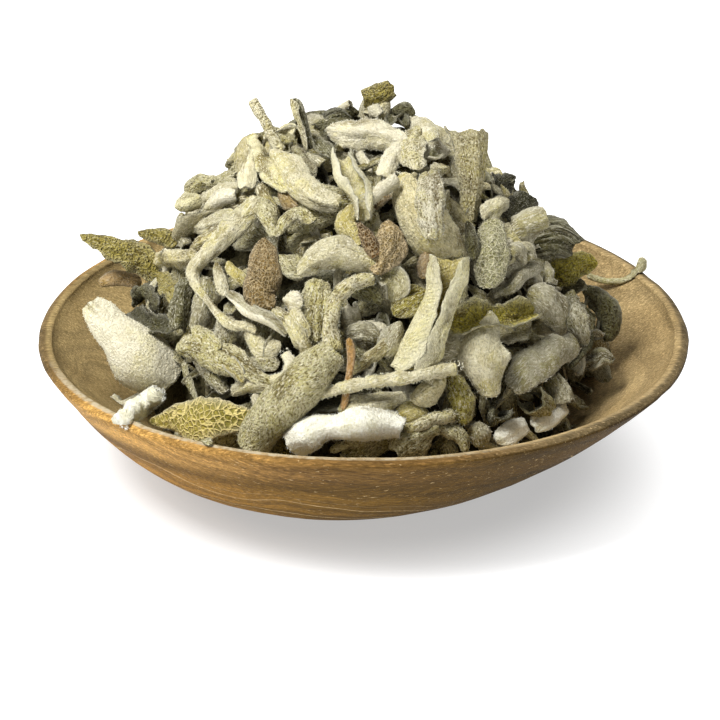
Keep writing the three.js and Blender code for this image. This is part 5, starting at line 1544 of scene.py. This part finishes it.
class SAGE_OT_small_leaves(bpy.types.Operator):
    """Scatter small leaves, torn bits and curls through the heap, all round it"""

    bl_idname = "sage.small_leaves"
    bl_label = "Small leaves"

    def execute(self, context):
        settings = context.scene.sage_leaves
        rng = np.random.default_rng(SMALL_SEED)

        def drawn(low, high):
            return float(rng.uniform(low, high))

        halves = {"front": bmesh.new(), "back": bmesh.new()}
        for k in range(settings.small_leaves):
            part = rng.random() ** 0.40 * 1.02
            around = 2 * math.pi * rng.random()
            x = HEAP_CENTRE[0] + part * HEAP_RADIUS * math.cos(around)
            y = HEAP_CENTRE[1] + part * HEAP_RADIUS * math.sin(around)
            normal = skin_normal(x, y)
            half = "front" if normal @ TO_SEAT > 0.25 else "back"
            heading = heading_on(normal, 2 * math.pi * rng.random())
            length = drawn(*SMALL_LENGTHS)
            base = np.array([x, y, skin(x, y)])
            lift = drawn(*SMALL_LIFTS[half])
            tilt = drawn(-SMALL_TILT, SMALL_TILT)
            bow = drawn(-SMALL_BOW, SMALL_BOW)
            ends = [to_skin(base + step * length * heading, lift + 2 * step * tilt)
                    for step in (-0.5, 0.5)]
            middle = to_skin(base + np.cross(normal, heading) * bow, lift + abs(bow))
            points = np.array([ends[0], middle, ends[1]])
            wide = drawn(*(NARROW_WIDTHS if rng.random() < NARROW_CHANCE else OTHER_WIDTHS))
            tone = str(rng.choice(list(SMALL_TONES), p=list(SMALL_TONES.values())))
            row = dict(tone=tone, wide=[0.5 * wide, wide, drawn(0.3, 0.8) * wide],
                       curl=[drawn(50, 230)], turn=[drawn(-70, 70) + 180 * (k % 3 == 0)],
                       ragged=drawn(0.1, 0.5),
                       pleats=drawn(0.6, 2.2), ends=(drawn(0.2, 0.9), drawn(0.2, 0.9)),
                       tear=(drawn(0, 1.2), drawn(0, 1.2)), tint=drawn(0, 1))
            if (points[:, 2] < bowl_inside(points[:, 0], points[:, 1]) - DEEPEST_IN_WALL).any():
                continue
            add_leaf(halves[half], points, normal, dressed(row, FIRST_SMALL + k, settings), settings,
                     COARSE_STEP, rng, KINDS.index(tone))
        for half, bm in halves.items():
            place_piece(context, mesh_from(bm, "small_leaves_" + half), leaf_materials(), [])
        return {"FINISHED"}


class SAGE_OT_wool(bpy.types.Operator):
    """Grow the wool: fine tufts on the faces and margins of all the leaves"""

    bl_idname = "sage.wool"
    bl_label = "Leaf wool"

    def execute(self, context):
        tuft = bmesh.new()
        bmesh.ops.create_cone(tuft, cap_ends=True, segments=3, radius1=1.0, radius2=0.0, depth=1.0)
        bmesh.ops.translate(tuft, verts=tuft.verts, vec=(0, 0, 0.5))
        bmesh.ops.remove_doubles(tuft, verts=tuft.verts, dist=0.001)
        bmesh.ops.triangulate(tuft, faces=tuft.faces)
        corners = np.array([vert.co for vert in tuft.verts])
        faces = np.array([[vert.index for vert in face.verts] for face in tuft.faces])
        tuft.free()
        rng = np.random.default_rng(TUFT_SEED)
        base, up, colour, long = (np.concatenate(noted) for noted in zip(*WOOL_ROOTS))
        long = long * rng.uniform(*TUFT_LENGTHS, len(long))
        wide = rng.uniform(*TUFT_WIDTHS, len(long))
        across = unit(np.cross(up, unit(rng.normal(size=up.shape))))
        third = np.cross(up, across)
        axes = np.stack([across * wide[:, None], third * wide[:, None], up * long[:, None]], axis=1)
        order = rng.permutation(len(base))
        material = wool_finish()
        for number, start in enumerate(range(0, len(order), TUFTS_A_PIECE)):
            some = order[start:start + TUFTS_A_PIECE]
            places = base[some, None] + corners @ axes[some]
            firsts = np.arange(len(some)) * len(corners)
            all_faces = (faces[None] + firsts[:, None, None]).reshape(-1, 3)
            mesh = bpy.data.meshes.new(f"leaf_wool_{number}")
            mesh.from_pydata((places.reshape(-1, 3) * MM).tolist(), [], all_faces.tolist())
            tone = mesh.attributes.new(WOOL_COLOUR, "FLOAT_COLOR", "POINT")
            shades = np.repeat(colour[some], len(corners), axis=0)
            tone.data.foreach_set("color", np.hstack([shades, np.ones((len(shades), 1))]).ravel())
            place_piece(context, mesh, [material], [])
        return {"FINISHED"}


class SAGE_OT_stage(bpy.types.Operator):
    """Set the pale floor, the soft lights and the camera"""

    bl_idname = "sage.stage"
    bl_label = "Floor, light and camera"

    def execute(self, context):
        settings = context.scene.sage_stage
        scene = context.scene
        scene.view_settings.view_transform = "Standard"
        bm = bmesh.new()
        bmesh.ops.create_grid(bm, x_segments=1, y_segments=1, size=FLOOR_SIZE)
        mesh = mesh_from(bm, "pale_floor")
        mesh.materials.append(floor_finish(settings))
        floor = bpy.data.objects.new("pale_floor", mesh)
        scene.collection.objects.link(floor)

        world = bpy.data.worlds.new("soft_white")
        scene.world = world
        world.use_nodes = True
        colour, strength = world.node_tree.nodes["Background"].inputs[:2]
        colour.default_value = (1, 1, 1, 1)
        strength.default_value = settings.fill

        for name, place, share, size in LIGHTS:
            light = bpy.data.lights.new(name, "AREA")
            light.energy = settings.key * share
            light.size = size
            lamp = bpy.data.objects.new(name, light)
            lamp.location = place
            aim = Vector(LIGHT_AIM) - lamp.location
            lamp.rotation_euler = aim.to_track_quat("-Z", "Y").to_euler()
            scene.collection.objects.link(lamp)

        camera = bpy.data.cameras.new("seat")
        camera.sensor_width = SENSOR_WIDTH
        camera.lens = SENSOR_WIDTH * SIGHT_DISTANCE / SIGHT_SPAN
        camera.clip_end = CLIP_END
        eye = bpy.data.objects.new("seat", camera)
        eye.location = Vector(SEAT) * MM
        eye.rotation_euler = (math.pi / 2 - SIGHT_PITCH, 0, 0)
        scene.collection.objects.link(eye)
        scene.camera = eye
        return {"FINISHED"}


class SAGE_PT_panel(bpy.types.Panel):
    """Lists the sage operators"""

    bl_idname = "SAGE_PT_panel"
    bl_label = "Bowl of dried sage"
    bl_space_type = "VIEW_3D"
    bl_region_type = "UI"
    bl_category = "Sage"

    def draw(self, context):
        for operator in OPERATORS:
            self.layout.operator(operator.bl_idname)


OPERATORS = (SAGE_OT_bowl, SAGE_OT_named_leaves, SAGE_OT_smaller_leaves, SAGE_OT_packed_leaves,
             SAGE_OT_small_leaves, SAGE_OT_wool, SAGE_OT_stage)
SETTINGS = {"sage_bowl": SageBowlSettings, "sage_leaves": SageLeafSettings,
            "sage_stage": SageStageSettings}


def register():
    for cls in (*SETTINGS.values(), *OPERATORS, SAGE_PT_panel):
        bpy.utils.register_class(cls)
    for name, cls in SETTINGS.items():
        setattr(bpy.types.Scene, name, PointerProperty(type=cls))


def unregister():
    for name in SETTINGS:
        delattr(bpy.types.Scene, name)
    for cls in (SAGE_PT_panel, *reversed(OPERATORS), *SETTINGS.values()):
        bpy.utils.unregister_class(cls)


def main():
    register()
    bpy.ops.sage.bowl()
    bpy.ops.sage.named_leaves()
    bpy.ops.sage.smaller_leaves()
    bpy.ops.sage.packed_leaves()
    bpy.ops.sage.small_leaves()
    bpy.ops.sage.wool()
    bpy.ops.sage.stage()


if __name__ == "__main__":
    main()
